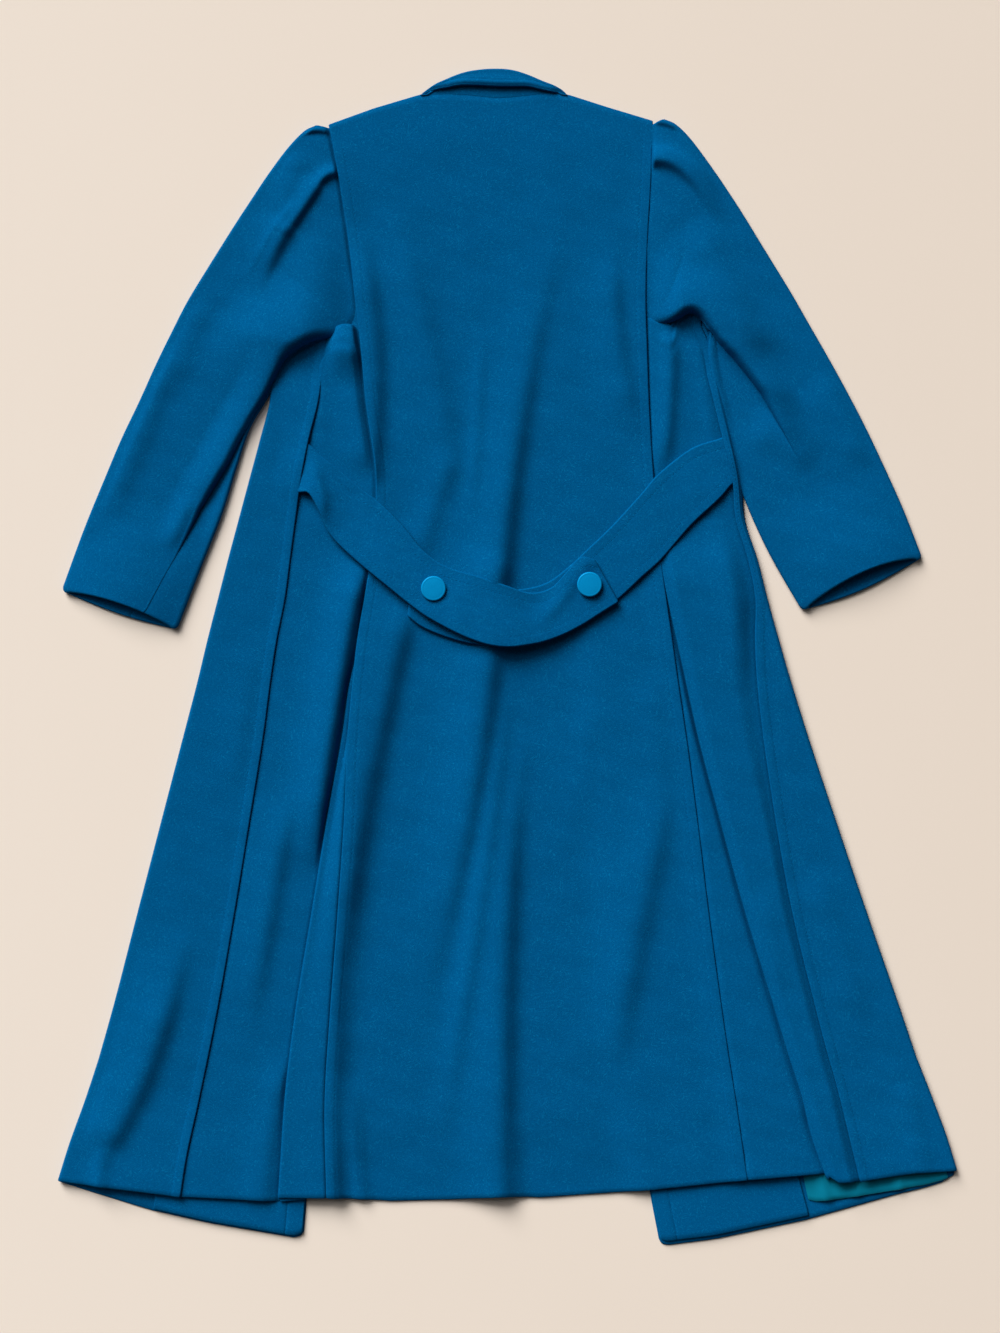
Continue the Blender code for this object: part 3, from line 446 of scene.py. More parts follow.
def topstitch(node, rows, thick=CLOTH):
    """Thread on the upper face of a piece, above rows of its middle points."""
    rows = [row + (0, 0, thick / 2) for row in rows]
    dress(stitch_rows(f"thread_{node}", rows), thread)


def flap_lift(level):
    """Height by which the right strip rides on the flap under its seam: none at the belt, most far below."""
    return FLAP_LIFT * ramp(level, *FLAP_LIFT_RAMP)


def front_surface(side):
    """Middle points of a front: flat run, half turn round the outline fold, and the strip back on top."""
    outward, level = OUTWARD[side], LEVELS[:, None]
    edge, armhole = (along(level, FRONTS, f"{side}_{name}") for name in ("edge", "armhole"))
    fold, seam = (along(level, SIDES, f"{side}_{name}") for name in ("fold", "seam"))
    layer = STRIP_LAYER - ARCH_DROP * ramp(level, *ARCH_RAMP)
    radius = (layer - FLOOR_LAYER) / 2
    has_strip = level <= UNDERARM_LEVEL
    turn_in = fold - outward * radius
    flat_x = ruled(edge, np.where(has_strip, turn_in, armhole), 24, lead=CORNER_LINES, trail=NO_LINES)
    turn = half_turn(10)
    bend_x = turn_in + outward * radius * np.cos(turn)
    bend_z = FLOOR_LAYER + radius * (1 + np.sin(turn))
    strip_x = ruled(turn_in, seam, 22, lead=NO_LINES)
    from_fold, inset = (fold - strip_x) * outward, np.abs(strip_x - seam)
    relief = fold_relief(strip_x, level, FRONT_FOLDS) + slack(strip_x, level)
    relief = relief * smoothstep(from_fold / FOLD_CLEAR)
    lift = STRIP_LIFT * ramp(level, *HEM_LIFT_RAMP) * smoothstep(from_fold / STRIP_LIFT_REACH)
    over_belt = BELT_LIFT * np.exp(-((level - BELT_END[side]) / BELT_LIFT_SPAN) ** 2)
    over_belt = over_belt * smoothstep(1 - inset / BELT_LIFT_REACH)
    lapped = SEAM_LIFT * ramp(inset, *SEAM_LIFT_RAMP) + seam_band(inset)
    ride = flap_lift(level) * smoothstep(1 - inset / FLAP_LIFT_REACH) if side == "right" else 0
    x = np.hstack([flat_x, bend_x, strip_x])
    z = np.hstack([FLOOR_LAYER + 0 * flat_x, bend_z, layer + relief + lift + over_belt + lapped + ride])
    hem = across(x, UPPER_HEM, "hem")
    hem[:, :flat_x.shape[1]] = across(flat_x, LOWER_HEM[side], "hem")
    y = row_line(level, across(x, SHOULDER, "top") - SHOULDER_TUCK, hem)
    kept = np.ones((len(LEVELS) - 1, x.shape[1] - 1), bool)
    kept[:, flat_x.shape[1] - 1:] = has_strip[:-1]
    return np.stack([x, y, z], axis=-1), kept


for side, (flat, area) in FRONT_CUT.items():
    points, kept = front_surface(side)
    sew(f"{side}_front", points, flat, area, ["floor"], kept=kept)
    topstitch(f"{side}_front", [points[LEVELS <= STITCH_TOP, -1 - STITCH_COLUMN]])

# Facings
# Each facing is a strip of the same wool, bagged out along the front edge and felled down inside the front.
# Only its lower end shows, below the hem of the back.
LAYER_GAP = 0.3
FACING_CLOTH = 1.5
FACING_LAYER = CLOTH + LAYER_GAP + FACING_CLOTH / 2
FACING_TOP = 590.0
FACING_INSET = 1.0
FACING_HEM_RISE = {"left": 2.0, "right": 4.5}
FACING_LINES = np.array([0, 1, 3, 8, 14, 17, 18, 18.6, 19, 19.4, 20, 21, 24])
FACING_STITCH, FACING_STITCH_COLUMN, FACING_STITCH_ROWS = 19.0, 8, 24
FACING_GROOVE, FACING_CLEARANCE = 0.7, 0.4
FACING_SLACK, FACING_SLACK_X, FACING_SLACK_Y = 0.4, 1.7, 1.3
FACING_SWELL, FACING_SWELL_RUN = 0.5, 12.0


def facing_surface(side):
    """Middle points of a facing: the front's edge carried in by the facing's width, on the front's face."""
    level = LEVELS[LEVELS < FACING_TOP][:, None]
    edge = along(level, FRONTS, side + "_edge") + OUTWARD[side] * FACING_INSET
    end = edge + OUTWARD[side] * along(level, FRONTS, "facing_width")
    x = ruled(edge, end, 14, lead=FACING_LINES)
    y = row_line(level, across(x, SHOULDER, "top"), across(x, LOWER_HEM[side], "hem") + FACING_HEM_RISE[side])
    inset = np.abs(x - edge)
    groove = FACING_GROOVE * np.exp(-(inset - FACING_STITCH) ** 2)
    swell = FACING_SWELL * smoothstep(inset / FACING_SWELL_RUN)
    swell = swell + FACING_SLACK * slack(x * FACING_SLACK_X, y * FACING_SLACK_Y)
    return np.stack([x, y, FACING_LAYER + FACING_CLEARANCE + swell - groove], axis=-1)


for side in OUTWARD:
    points = facing_surface(side)
    sew(f"{side}_facing", points, (0.17, 1.27), 0.139, [f"{side}_front"], thick=FACING_CLOTH)
    topstitch(f"{side}_facing", [points[-FACING_STITCH_ROWS:, FACING_STITCH_COLUMN]], FACING_CLOTH)

# Lining
# The lining is teal satin, hung inside the right front beyond its facing. Its hem is turned up on itself and
# ends above the wool's turned-up hem, and it bags a little there.
LINING_CLOTH = 1.0
LINING_LAYER = CLOTH + LAYER_GAP + LINING_CLOTH / 2
LINING_TOP = -290.0
LINING_FOLD_GAP = 9.0
LINING_LINES = np.array([0, 1.0, 2.5])
LINING_BAG_RAMP = -566.0, -14.0
LINING_RIPPLE, LINING_RIPPLE_X, LINING_RIPPLE_Y = 0.3, 9.0, 31.0
LINING_HEM_RISE = table(
    "x rise", (330, 37), (332.5, 33), (335.5, 26), (339, 21.2), (347, 17.2), (374, 12.5), (436, 5),
    (495, 1.5))
LINING_FOLDS = table(
    FOLD_COLUMNS,
    (350, -540, 356, -585, 372, -640, 4, 3, 8, 0.3, 0.3),
    (384, -520, 394, -580, 400, -640, 3, 3, 9, 0.3, 0.3),
    (440, -640, 436, -575, 430, -520, 3.4, 3, 8, 0.3, 0.3),
    (470, -586, 405, -604, 335, -600, 1.2, 1.6, 5, 0.3, 0.3),
)


def lining_surface():
    """Middle points of the lining: facing's inner edge to the outline fold, with bagging folds at its hem."""
    level = LEVELS[LEVELS <= LINING_TOP][:, None]
    facing_end = along(level, FRONTS, "right_edge") + FACING_INSET + along(level, FRONTS, "facing_width")
    end = along(level, SIDES, "right_fold") - LINING_FOLD_GAP
    x = ruled(facing_end + LAYER_GAP, end, 50, lead=LINING_LINES, trail=LINING_LINES)
    hem = across(x, LOWER_HEM["right"], "hem") + across(x, LINING_HEM_RISE, "rise")
    y = row_line(level, SHOULDER_LEVEL, hem)
    ripple = LINING_RIPPLE * (1 + np.sin(x / LINING_RIPPLE_X + y / LINING_RIPPLE_Y))
    bagging = ramp(y, *LINING_BAG_RAMP)
    z = LINING_LAYER + bagging * (fold_relief(x, y, LINING_FOLDS) + ripple)
    return np.stack([x, y, z], axis=-1)


def satin_finish():
    """Teal satin: fine ribs of thread across the cloth over a smooth, glossy ground."""
    made, tree, spot = finish_of("lining_satin")
    ribs = shade(tree, "TexWave", vector=spot, scale=420.0, distortion=0.6, detail=1.0)
    cloud = shade(tree, "TexNoise", vector=spot, scale=45.0, detail=2.0).outputs[0]
    bump = shade(tree, "Bump", strength=0.1, distance=0.0002, height=ribs.outputs["Fac"]).outputs[0]
    surface(tree, {"Base Color": blend(tree, cloud, (0.002, 0.148, 0.238, 1.0), (0.003, 0.202, 0.318, 1.0)),
                   "Roughness": math_node(tree, "MULTIPLY_ADD", cloud, 0.15, 0.28), "Normal": bump,
                   "Specular IOR Level": 0.5, "Specular Tint": (0.01, 0.5, 0.62, 1.0)})
    return made


sew("right_lining", lining_surface(), (0.21, 0.32), 0.045, ["right_front"], thick=LINING_CLOTH,
    cloth="satin", finish=satin_finish(), slot="lining_satin")

# Centre back
# The centre back is one long cut of wool from the neck to the hem. Its long edges are turned under, lapped
# over the side backs and the sleeves, and topstitched a finger's width in.
BACK_REST, BACK_STACK = 5.0, 8.5
STACK_RAMP = 150.0, -150.0
HEM_SETTLE, HEM_SETTLE_RAMP = 3.0, (-500.0, -100.0)
FRONT_LEAD, FRONT_SLOPE, BACK_EDGE_REACH = 50.0, 45.0, 30.0
BELT_PRESS, BELT_PRESS_WIDTH = 0.5, 34.0
BELT_LEVEL, BELT_BOW = 45.0, 0.0039
BACK = table(
    "level left right left_height right_height",
    (600, -200, 162.5, 4.2, 4.2),
    (540, -189, 160.5, 7.0, 6.4),
    (470, -178, 156.5, 7.2, 6.8),
    (400, -170, 154.5, 7.6, 7.6),
    (350, -164, 156, 7.4, 7.8),
    (290, -158.5, 158, 7.0, 7.8),
    (200, -147, 163.5, 6.8, 7.4),
    (110, -153, 171.5, 8.0, 8.0),
    (65, -160, 177.5, 9.2, 10.0),
    (20, -167.5, 184, 11.0, 11.0),
    (-30, -173, 191, 12.0, 11.2),
    (-80, -177.5, 198.5, 12.0, 11.2),
    (-180, -182, 212, 11.6, 11.2),
    (-290, -189.5, 225.5, 11.0, 11.2),
    (-400, -198, 240.5, 10.4, 11.2),
    (-500, -204, 255, 10.0, 11.0),
    (-605, -202, 268.3, 9.8, 11.0),
)
NECK_LAYER, NECK_SETTLE = 4.2, 560.0
BACK_FOLDS = table(
    FOLD_COLUMNS,
    (82, 537, 25, 290, -5, 20, 14, 4.5, 42, 0.9, 0.15),
    (-2, 127, -31, -149, -98, -430, 13, 4.5, 42, 0.12, 0.55),
    (-127, 515, -76, 335, -51, 177, 6, 6, 40, 0.3, 0.3),
    (-26, 368, -30, 267, -38, 132, 2.5, 2.5, 10, 0.3, 0.3),
    (-47, 245, -78, 160, -107, 65, 5, 5.5, 24, 0.3, 0.3),
    (124, 470, 131, 352, 155, 233, 7, 4, 30, 0.3, 0.3),
    (-164, 487, -142, 346, -150, 177, 9, 4, 34, 0.3, 0.1),
    (-98, 76, -150, -149, -186, -385, 9.5, 4.5, 44, 0.12, 0.3),
    (-177, -273, -188, -453, -183, -667, 5, 3.5, 30, 0.3, 0.1),
    (10, -3, -26, -273, -76, -588, 6, 3.5, 18, 0.3, 0.4),
    (26, -65, 5, -329, 5, -678, 13, 4.5, 42, 0.45, 0.05),
    (12, -509, 13, -565, 19, -655, 3, 2, 6, 0.5, 0.05),
    (102, -37, 93, -127, 82, -228, 2.5, 6, 30, 0.3, 0.3),
    (194, -115, 155, -307, 118, -509, 7.5, 5.5, 40, 0.3, 0.4),
    (166, -3, 176, -82, 188, -160, 3, 5, 24, 0.3, 0.3),
    (-169, -464, -166, -543, -152, -655, 6, 3, 16, 0.5, 0.05),
)


def belt_hold(x, y):
    """Share of a fold that is left under the belt, which hangs in a bow across the back."""
    aside = (y - BELT_LEVEL - BELT_BOW * x ** 2) / np.hypot(1, 2 * BELT_BOW * x)
    return 1 - BELT_PRESS * np.exp(-(aside / BELT_PRESS_WIDTH) ** 2)


def back_height(x, y):
    """Height of the centre back: low between the fronts, up over them to its lapped edges, with its folds."""
    over_left = smoothstep((along(y, FRONTS, "left_edge") - x + FRONT_LEAD) / FRONT_SLOPE)
    over_right = smoothstep((x - along(y, FRONTS, "right_edge") + FRONT_LEAD) / FRONT_SLOPE)
    stack = SIDE_LAYER + (BACK_STACK - SIDE_LAYER) * ramp(y, *STACK_RAMP)
    rest = BACK_REST - HEM_SETTLE * ramp(y, *HEM_SETTLE_RAMP)
    base = rest + (stack - rest) * np.maximum(over_left, over_right)
    height = base + (fold_relief(x, y, BACK_FOLDS) + slack(x, y)) * belt_hold(x, y)
    for side, outward in OUTWARD.items():
        inset = -outward * (x - along(y, BACK, side))
        height = height + (along(y, BACK, side + "_height") - base) * smoothstep(1 - inset / BACK_EDGE_REACH)
        height = height + seam_band(inset)
    return height


def back_edge(level, side):
    """Height of the centre back at one of its long edges, which the panels lapped under it follow."""
    return back_height(along(level, BACK, side), level)


def back_surface():
    """Middle points of the centre back, settled onto the shoulder line at the top."""
    level = LEVELS[:, None]
    x = ruled(along(level, BACK, "left"), along(level, BACK, "right"), 66)
    y = row_line(level, across(x, SHOULDER, "top"), across(x, UPPER_HEM, "hem"))
    z = back_height(x, y)
    settle = ramp(level, NECK_SETTLE, SHOULDER_LEVEL - NECK_SETTLE)
    return np.stack([x, y, z + (NECK_LAYER - z) * settle], axis=-1)


points = back_surface()
sew("back_panel", points, (0.48, 1.25), 0.468, ["left_side_back", "right_side_back"])
topstitch("back_panel", [points[4:, column] for column in (STITCH_COLUMN, -1 - STITCH_COLUMN)])

# Side backs
# Each side back is one cut of wool between the lapped side seam and the centre back. A long pleat is pressed
# into it, held at the belt and open to the hem. Its edges run on under the laps of its neighbours.
SIDE_CUT = {"left": ((0.24, 0.99), 0.155), "right": ((0.18, 0.97), 0.151)}
VALLEY_LINES = np.array([0, 0.9, 1.8, 2.7, 3.6, 4.5, 5.4, 6.3, 7.2, 8.2, 9.4, 11, 13, 16])
LAP_LINES = np.array([0, 6, 8.5, 9.5, 10.5, 11.5, 12.5, 14, 17])
TURN_COLUMNS = 7
PLEAT_TOP = {"left": 110.0, "right": 155.0}
PLEAT_RADIUS = {"left": 1.6, "right": 1.4}
LAP, LAP_DROP, LAP_RUN = 9.0, 2.4, 6.0
LAP_LAYER = SIDE_LAYER - 1.8
LOWEST = 3.2
SEAM_DROP, SEAM_DROP_RAMP = 2.6, {"left": (-1.0, -4.0), "right": (-3.0, 5.0)}
SIDE_TOP_RAMP = 320.0, 76.0
LEFT_SEAM_EASE, LEFT_BACK_EASE, LEFT_PLEAT_RAMP = 5.0, 12.0, (-2.5, -6.0)
VALLEY_DROP, VALLEY_DROP_RAMP = 1.0, (-6.0, 4.0)
STRIP_RISE, STRIP_LOW_RISE, STRIP_RISE_RAMP = 3.2, 1.0, (-180.0, -300.0)
STRIP_DIP, STRIP_DIP_RAMP, STRIP_DIP_EDGE = 2.2, (-20.0, -120.0), (-4.0, 3.5)
STRIP_BACK_GAP, STRIP_FLAT, STRIP_LEAST, STRIP_DROP_LEAST = 4.0, 3.0, 6.0, 5.0
STRIP_HEM = -605.5
SIDE_HEM_LIFT, SIDE_HEM_LIFT_RAMP = 2.6, (-8.0, -30.0)
DOME_X, DOME_TOP, DOME_RAMP = -181.0, 373.0, (300.0, 60.0)
DOME_HEIGHT, DOME_WIDTH, DOME_POWER = 11.0, 18.0, 3
DOME_EDGE, DOME_EDGE_RAMP = 4.0, (376.0, 20.0)
DOME_FALL, DOME_FALL_WIDTH, DOME_FALL_MOST, DOME_FALL_POWER = 15.0, 22.0, 1.25, 2.4
VALLEY_LAYERS = 11.2, 4.0
FLAT_LAP = 1.8
VALLEY_SLOPE, VALLEY_SLOPE_RUN, VALLEY_EASE = 2.0, 28.0, 10.0
PLUNGE, PLUNGE_RAMP = 5.2, (-8.5, 6.5)
FLAP_ROLL, FLAP_ROLL_RUN = 3.8, 11.0
FLAP_SHUT, FLAP_OPENING = 0.3, 80.0
FLAP_SLOPE, FLAP_TOP_SLOPE, FLAP_SLOPE_RAMP = 13.0, 15.0, (-250.0, 250.0)
FLAP_DEPTH_GAP, FLAP_SLOPE_LEAST = 3.0, 8.0
FLAP_SEAM_EASE, FLAP_EDGE_EASE = 16.0, 14.0
HOLLOW, HOLLOW_RAMP, HOLLOW_EDGE = 3.0, (345.0, 25.0), (182.0, 10.0)
PLEAT_HEM, FLAP_CORNER_HEM = -579.0, -584.0
RIGHT_TOP, RIGHT_TOP_RISE, RIGHT_TOP_RAMP = 382.0, 20.0, (184.0, 8.0)
RIGHT_TOP_FALL, RIGHT_TOP_FALL_X, RIGHT_TOP_FALL_RUN = 9.0, 156.0, 27.0
SIDE_FOLDS = table(
    FOLD_COLUMNS,
    (-175, 380, -164, 295, -148, 200, 6, 4, 20, 0.3, 0.2),
    (-209, 346, -202, 278, -209, 194, 0.8, 4, 20, 0.3, 0.3),
    (-155, 115, -188, -61, -217, -256, 14, 3.0, 32, 0.15, 0.25),
    (-238, -149, -258, -273, -290, -453, 6.5, 4.5, 30, 0.3, 0.4),
    (-245, -453, -258, -520, -269, -633, 4.5, 4, 22, 0.3, 0.1),
    (187, 391, 187, 301, 178, 200, 8, 4, 16, 0.15, 0.2),
    (235, 200, 223, 290, 217, 352, 4, 4, 10, 0.3, 0.3),
    (246, 155, 259, 65, 275, -48, 3, 6, 24, 0.3, 0.3),
    (295, -250, 302, -307, 318, -385, 2, 5, 18, 0.3, 0.3),
)


def side_lines(side):
    """Levels of a side back, its seam, the back's edge, its pleat's edge and depth, and where it opens."""
    level = LEVELS[LEVELS <= UNDERARM_LEVEL][:, None]
    seam, pleat, depth = (along(level, SIDES, f"{side}_{name}") for name in ("seam", "pleat", "depth"))
    return level, seam, along(level, BACK, side), pleat, pleat + depth, level <= PLEAT_TOP[side]


def pleat_folds(pleat, deep, radius):
    """X and rise of a pleat's hidden part: half turn at its depth, run back, half turn at its folded edge."""
    turn, back = half_turn(TURN_COLUMNS), np.linspace(0, 1, 5)[None, :]
    x = np.hstack([deep + radius * np.cos(turn), deep + (pleat - deep) * back, pleat - radius * np.cos(turn)])
    rise = radius * (1 + np.sin(turn))
    return x, np.hstack([rise, 2 * radius + 0 * back, 2 * radius + rise])


def side_points(level, x, z, hem, top):
    """Middle points of a side back, with its upper rows drawn down to its top edge under the arm."""
    y = row_line(level, SHOULDER_LEVEL, hem) - (UNDERARM_LEVEL - top) * ramp(level, *SIDE_TOP_RAMP)
    return np.stack([x, y, z], axis=-1)


def left_side_surface():
    """Middle points of the left side back: wide part, two turns of the pleat, and the strip folded on top."""
    level, seam, back, pleat, deep, pleated = side_lines("left")
    valley = np.where(pleated, pleat, back - STRIP_BACK_GAP)
    under_end = np.where(pleated, deep, back + LAP)
    main_x = ruled(seam - LAP, valley, 30, lead=NO_LINES, trail=VALLEY_LINES)
    main_x = np.hstack([main_x, valley + (under_end - valley) * np.linspace(0, 1, 7)[None, 1:]])
    fold_x, fold_rise = pleat_folds(pleat, deep, PLEAT_RADIUS["left"])
    strip_x = ruled(pleat, np.maximum(back + LAP, pleat + STRIP_LEAST), 12, lead=NO_LINES, trail=LAP_LINES)

    relief = fold_relief(main_x, level, SIDE_FOLDS) + slack(main_x, level)
    relief = relief * smoothstep((main_x - seam) / LEFT_SEAM_EASE)
    relief = np.where(pleated, relief * ramp(main_x - pleat, *LEFT_PLEAT_RAMP),
                      relief * smoothstep((back - main_x) / LEFT_BACK_EASE))
    relief = relief - np.where(pleated, VALLEY_DROP * ramp(main_x - pleat, *VALLEY_DROP_RAMP), 0)
    dome = DOME_HEIGHT * np.exp(-(np.abs(main_x - DOME_X) / DOME_WIDTH) ** DOME_POWER)
    dome = dome * ramp(level, *DOME_RAMP) - DOME_EDGE * ramp(level, *DOME_EDGE_RAMP)
    under_seam = -SEAM_DROP * ramp(main_x - seam, *SEAM_DROP_RAMP["left"])
    lift = SIDE_HEM_LIFT * ramp(level, *HEM_LIFT_RAMP) * ramp(main_x - pleat, *SIDE_HEM_LIFT_RAMP)
    strip_end = back_edge(level, "left") - LAP_DROP
    back_lap = np.minimum(strip_end, LAP_LAYER) - SIDE_LAYER - relief - dome
    back_lap = np.where(pleated, 0, back_lap * ramp(main_x - back, -LAP_RUN, LAP_RUN))
    main_z = np.maximum(SIDE_LAYER + relief + dome + under_seam + lift + back_lap, LOWEST)
    bottom = SIDE_LAYER - VALLEY_DROP
    rise = STRIP_RISE + STRIP_LOW_RISE * ramp(level, *STRIP_RISE_RAMP) + VALLEY_DROP
    drop = ramp(strip_x - pleat, STRIP_FLAT, np.maximum(back - pleat - STRIP_BACK_GAP, STRIP_DROP_LEAST))
    dip = STRIP_DIP * ramp(level, *STRIP_DIP_RAMP) * ramp(strip_x - back, *STRIP_DIP_EDGE)
    strip_z = bottom + rise + (strip_end - bottom - rise) * drop - dip
    fold_z = bottom + rise / (4 * PLEAT_RADIUS["left"]) * fold_rise
    x = np.hstack([main_x, fold_x, strip_x])
    hem = across(x, UPPER_HEM, "hem")
    hem[:, -TURN_COLUMNS - strip_x.shape[1]:] = STRIP_HEM
    kept = np.ones((len(level) - 1, x.shape[1] - 1), bool)
    kept[:, main_x.shape[1] - 1:] = pleated[:-1]
    fall = np.minimum(np.abs(x - DOME_X) / DOME_FALL_WIDTH, DOME_FALL_MOST)
    top = DOME_TOP - DOME_FALL * fall ** DOME_FALL_POWER
    return side_points(level, x, np.hstack([main_z, fold_z, strip_z]), hem, top), kept


def right_side_surface():
    """Middle points of the right side back: low strip, two turns of the pleat, and the flap folded on top."""
    level, seam, back, pleat, deep, pleated = side_lines("right")
    valley, floor = VALLEY_LAYERS
    valley_x = ruled(back - LAP, deep, 26, lead=NO_LINES, trail=VALLEY_LINES)
    fold_x, fold_rise = pleat_folds(pleat, deep, PLEAT_RADIUS["right"])
    flap_start = np.where(pleated, pleat, back - LAP)
    flap_x = flap_start + (seam + LAP - flap_start) * np.linspace(0, 1, 44)[None, :]

    edge = back_edge(level, "right")
    lapped = np.where(pleated, edge - FLAT_LAP, np.minimum(edge - LAP_DROP, LAP_LAYER))
    back_lap = (lapped - valley) * ramp(valley_x - back, LAP_RUN, -LAP_RUN)
    valley_z = valley + back_lap + slack(valley_x, level) * smoothstep((pleat - valley_x) / VALLEY_EASE)
    gentle = VALLEY_SLOPE * np.clip((valley_x - pleat + VALLEY_SLOPE_RUN) / VALLEY_SLOPE_RUN, 0, 1) ** 2
    valley_z = np.maximum(valley_z - gentle - PLUNGE * ramp(valley_x - pleat, *PLUNGE_RAMP), LOWEST)
    relief = fold_relief(flap_x, level, SIDE_FOLDS) + slack(flap_x, level)
    relief = relief * smoothstep((seam - flap_x) / FLAP_SEAM_EASE)
    relief = relief * smoothstep((flap_x - flap_start) / FLAP_EDGE_EASE)
    relief = relief - HOLLOW * ramp(level, *HOLLOW_RAMP) * ramp(flap_x, *HOLLOW_EDGE)
    opened = FLAP_SHUT + (1 - FLAP_SHUT) * ramp(level, PLEAT_TOP["right"], -FLAP_OPENING)
    roll = FLAP_ROLL * smoothstep((flap_x - pleat) / FLAP_ROLL_RUN)
    flap = np.where(pleated, floor + (4 * PLEAT_RADIUS["right"] + roll) * opened, SIDE_LAYER)
    slope_start = seam - FLAP_SLOPE - FLAP_TOP_SLOPE * ramp(level, *FLAP_SLOPE_RAMP)
    slope_start = np.maximum(deep + FLAP_DEPTH_GAP, slope_start)
    settle = ramp(flap_x, slope_start, np.maximum(seam - slope_start, FLAP_SLOPE_LEAST))
    under_seam = -SEAM_DROP * ramp(flap_x - seam, *SEAM_DROP_RAMP["right"])
    flap_lap = np.where(pleated, 0, (lapped - SIDE_LAYER) * ramp(flap_x - back, LAP_RUN, -LAP_RUN))
    flap_z = flap + (SIDE_LAYER + flap_lift(level) - flap) * settle + relief + under_seam + flap_lap
    x = np.hstack([valley_x, fold_x, flap_x])
    z = np.hstack([valley_z, floor + opened * fold_rise, np.maximum(flap_z, LOWEST)])
    hem = across(x, UPPER_HEM, "hem")
    flap_column = valley_x.shape[1] + fold_x.shape[1]
    edge_start = flap_column - TURN_COLUMNS
    hem[:, valley_x.shape[1]:edge_start] = PLEAT_HEM
    hem[:, edge_start:flap_column + 1] = FLAP_CORNER_HEM
    kept = np.ones((len(level) - 1, x.shape[1] - 1), bool)
    kept[:, :flap_column] = pleated[:-1]
    top = RIGHT_TOP - RIGHT_TOP_FALL * np.clip((x - RIGHT_TOP_FALL_X) / RIGHT_TOP_FALL_RUN, 0, 1)
    return side_points(level, x, z, hem, top + RIGHT_TOP_RISE * ramp(x, *RIGHT_TOP_RAMP)), kept


for side, surface_of in (("left", left_side_surface), ("right", right_side_surface)):
    points, kept = surface_of()
    sew(f"{side}_side_back", points, *SIDE_CUT[side], [f"{side}_front"], kept=kept)

# Sleeves
# Each sleeve has a top half and an under half. The top half is gathered at its head, sewn in under the lapped
# edge of the back, and folds over along the outer line; the under half takes the inner fold and the underarm.
TOP_CUT = {"left": ((0.29, 0.60), 0.133), "right": ((0.26, 0.60), 0.112)}
UNDER_CUT = {"left": ((0.10, 0.36), 0.025), "right": ((0.13, 0.37), 0.040)}
SLEEVE_RADIUS = 2.3
SLEEVE_ENDS = "outer_x outer_y inner_x inner_y back_seam"
SLEEVES = {
    "left": table(
        SLEEVE_ENDS,
        (-215, 597, -199.9, 594, 1), (-228, 590.5, -192.6, 555, 1), (-246, 572, -184.4, 507, 1),
        (-268, 542.5, -177.0, 455, 1), (-289, 511, -168.5, 386, 1), (-306, 485, -184, 363, 1),
        (-333, 442, -211, 357.5, 1), (-358, 401, -231, 349, 1), (-377, 364, -247, 334, 0.97),
        (-395, 327, -269.5, 293, 0.975), (-413, 287, -290, 258, 0.97), (-433, 245, -305.5, 213, 0.915),
        (-453, 197.5, -322, 160, 0.81), (-475, 143.5, -345, 102, 0.78), (-500, 75, -372, 32, 0.72)),
    "right": table(
        SLEEVE_ENDS,
        (176, 604, 163.4, 598, 1), (189, 598, 162, 560, 1), (206, 581, 159.4, 509, 1),
        (230, 548.5, 156.6, 453, 1), (250, 519, 155.6, 385, 1), (266, 494, 182.8, 376.3, 1),
        (288, 458, 207, 388, 1), (318, 409, 226, 370, 1), (338, 374, 226, 346, 0.846),
        (357, 341, 228, 328, 0.754), (377.5, 304, 236, 290, 0.633), (399, 263, 246, 239, 0.557),
        (420, 219, 266.5, 180, 0.51), (443, 168, 294, 119, 0.53), (465, 112, 331.5, 53.5, 0.60)),
}
SLEEVE_LAYERS = table(
    "front_seam inner_height loft",
    (1, 4.4, 0.0), (1, 5.6, 0.6), (1, 5.8, 1.4), (1, 6.0, 1.8), (1, 5.0, 1.8), (1, 4.8, 1.2),
    (1, 5.6, 0.6), (1, 5.6, 0.6), (0.95, 5.6, 0.8), (0.80, 5.6, 0.8), (0.64, 5.6, 0.8), (0.60, 5.6, 0.8),
    (0.60, 5.6, 0.8), (0.60, 5.6, 1.0), (0.60, 5.6, 1.4))
SLEEVE_FOLDS = {
    "left": table(
        FOLD_COLUMNS,
        (-188, 541, -202, 538, -214, 524, 7, 1.1, 10, 0.01, 0.4),
        (-204, 536, -227, 502, -249, 469, 7.5, 1.5, 18, 0.2, 0.3),
        (-238, 484, -256, 455, -281, 397, 8, 2.4, 26, 0.25, 0.6),
        (-231, 511, -260, 480, -294, 419, 1.2, 1.5, 5, 0.3, 0.3),
        (-197, 587, -218, 590, -237, 582, 4.5, 0.9, 6, 0.01, 0.3),
        (-350, 181, -364, 147, -377, 114, 4, 4, 14, 0.3, 0.3),
        (-233, 571, -238, 532, -267, 487, 3, 5, 18, 0.3, 0.4),
        (-357, 363, -402, 250, -445, 143, 5, 6, 30, 0.3, 0.3),
        (-329, 402, -350, 352, -371, 290, 2.5, 6, 26, 0.3, 0.3)),
    "right": table(
        FOLD_COLUMNS,
        (243, 470, 197, 541, 154, 550, 9, 2.0, 18, 0.5, 0.01),
        (164, 576, 213, 552, 254, 508, 1.5, 1.2, 8, 0.15, 0.3),
        (194, 591, 177, 598, 159, 600, 3.5, 1.2, 6, 0.3, 0.01),
        (212, 498, 252, 428, 300, 340, 8, 7, 36, 0.3, 0.4),
        (338, 205, 308, 234, 262, 248, 4, 7, 30, 0.3, 0.3),
        (397, 200, 363, 262, 329, 312, 4, 9, 36, 0.3, 0.3)),
}
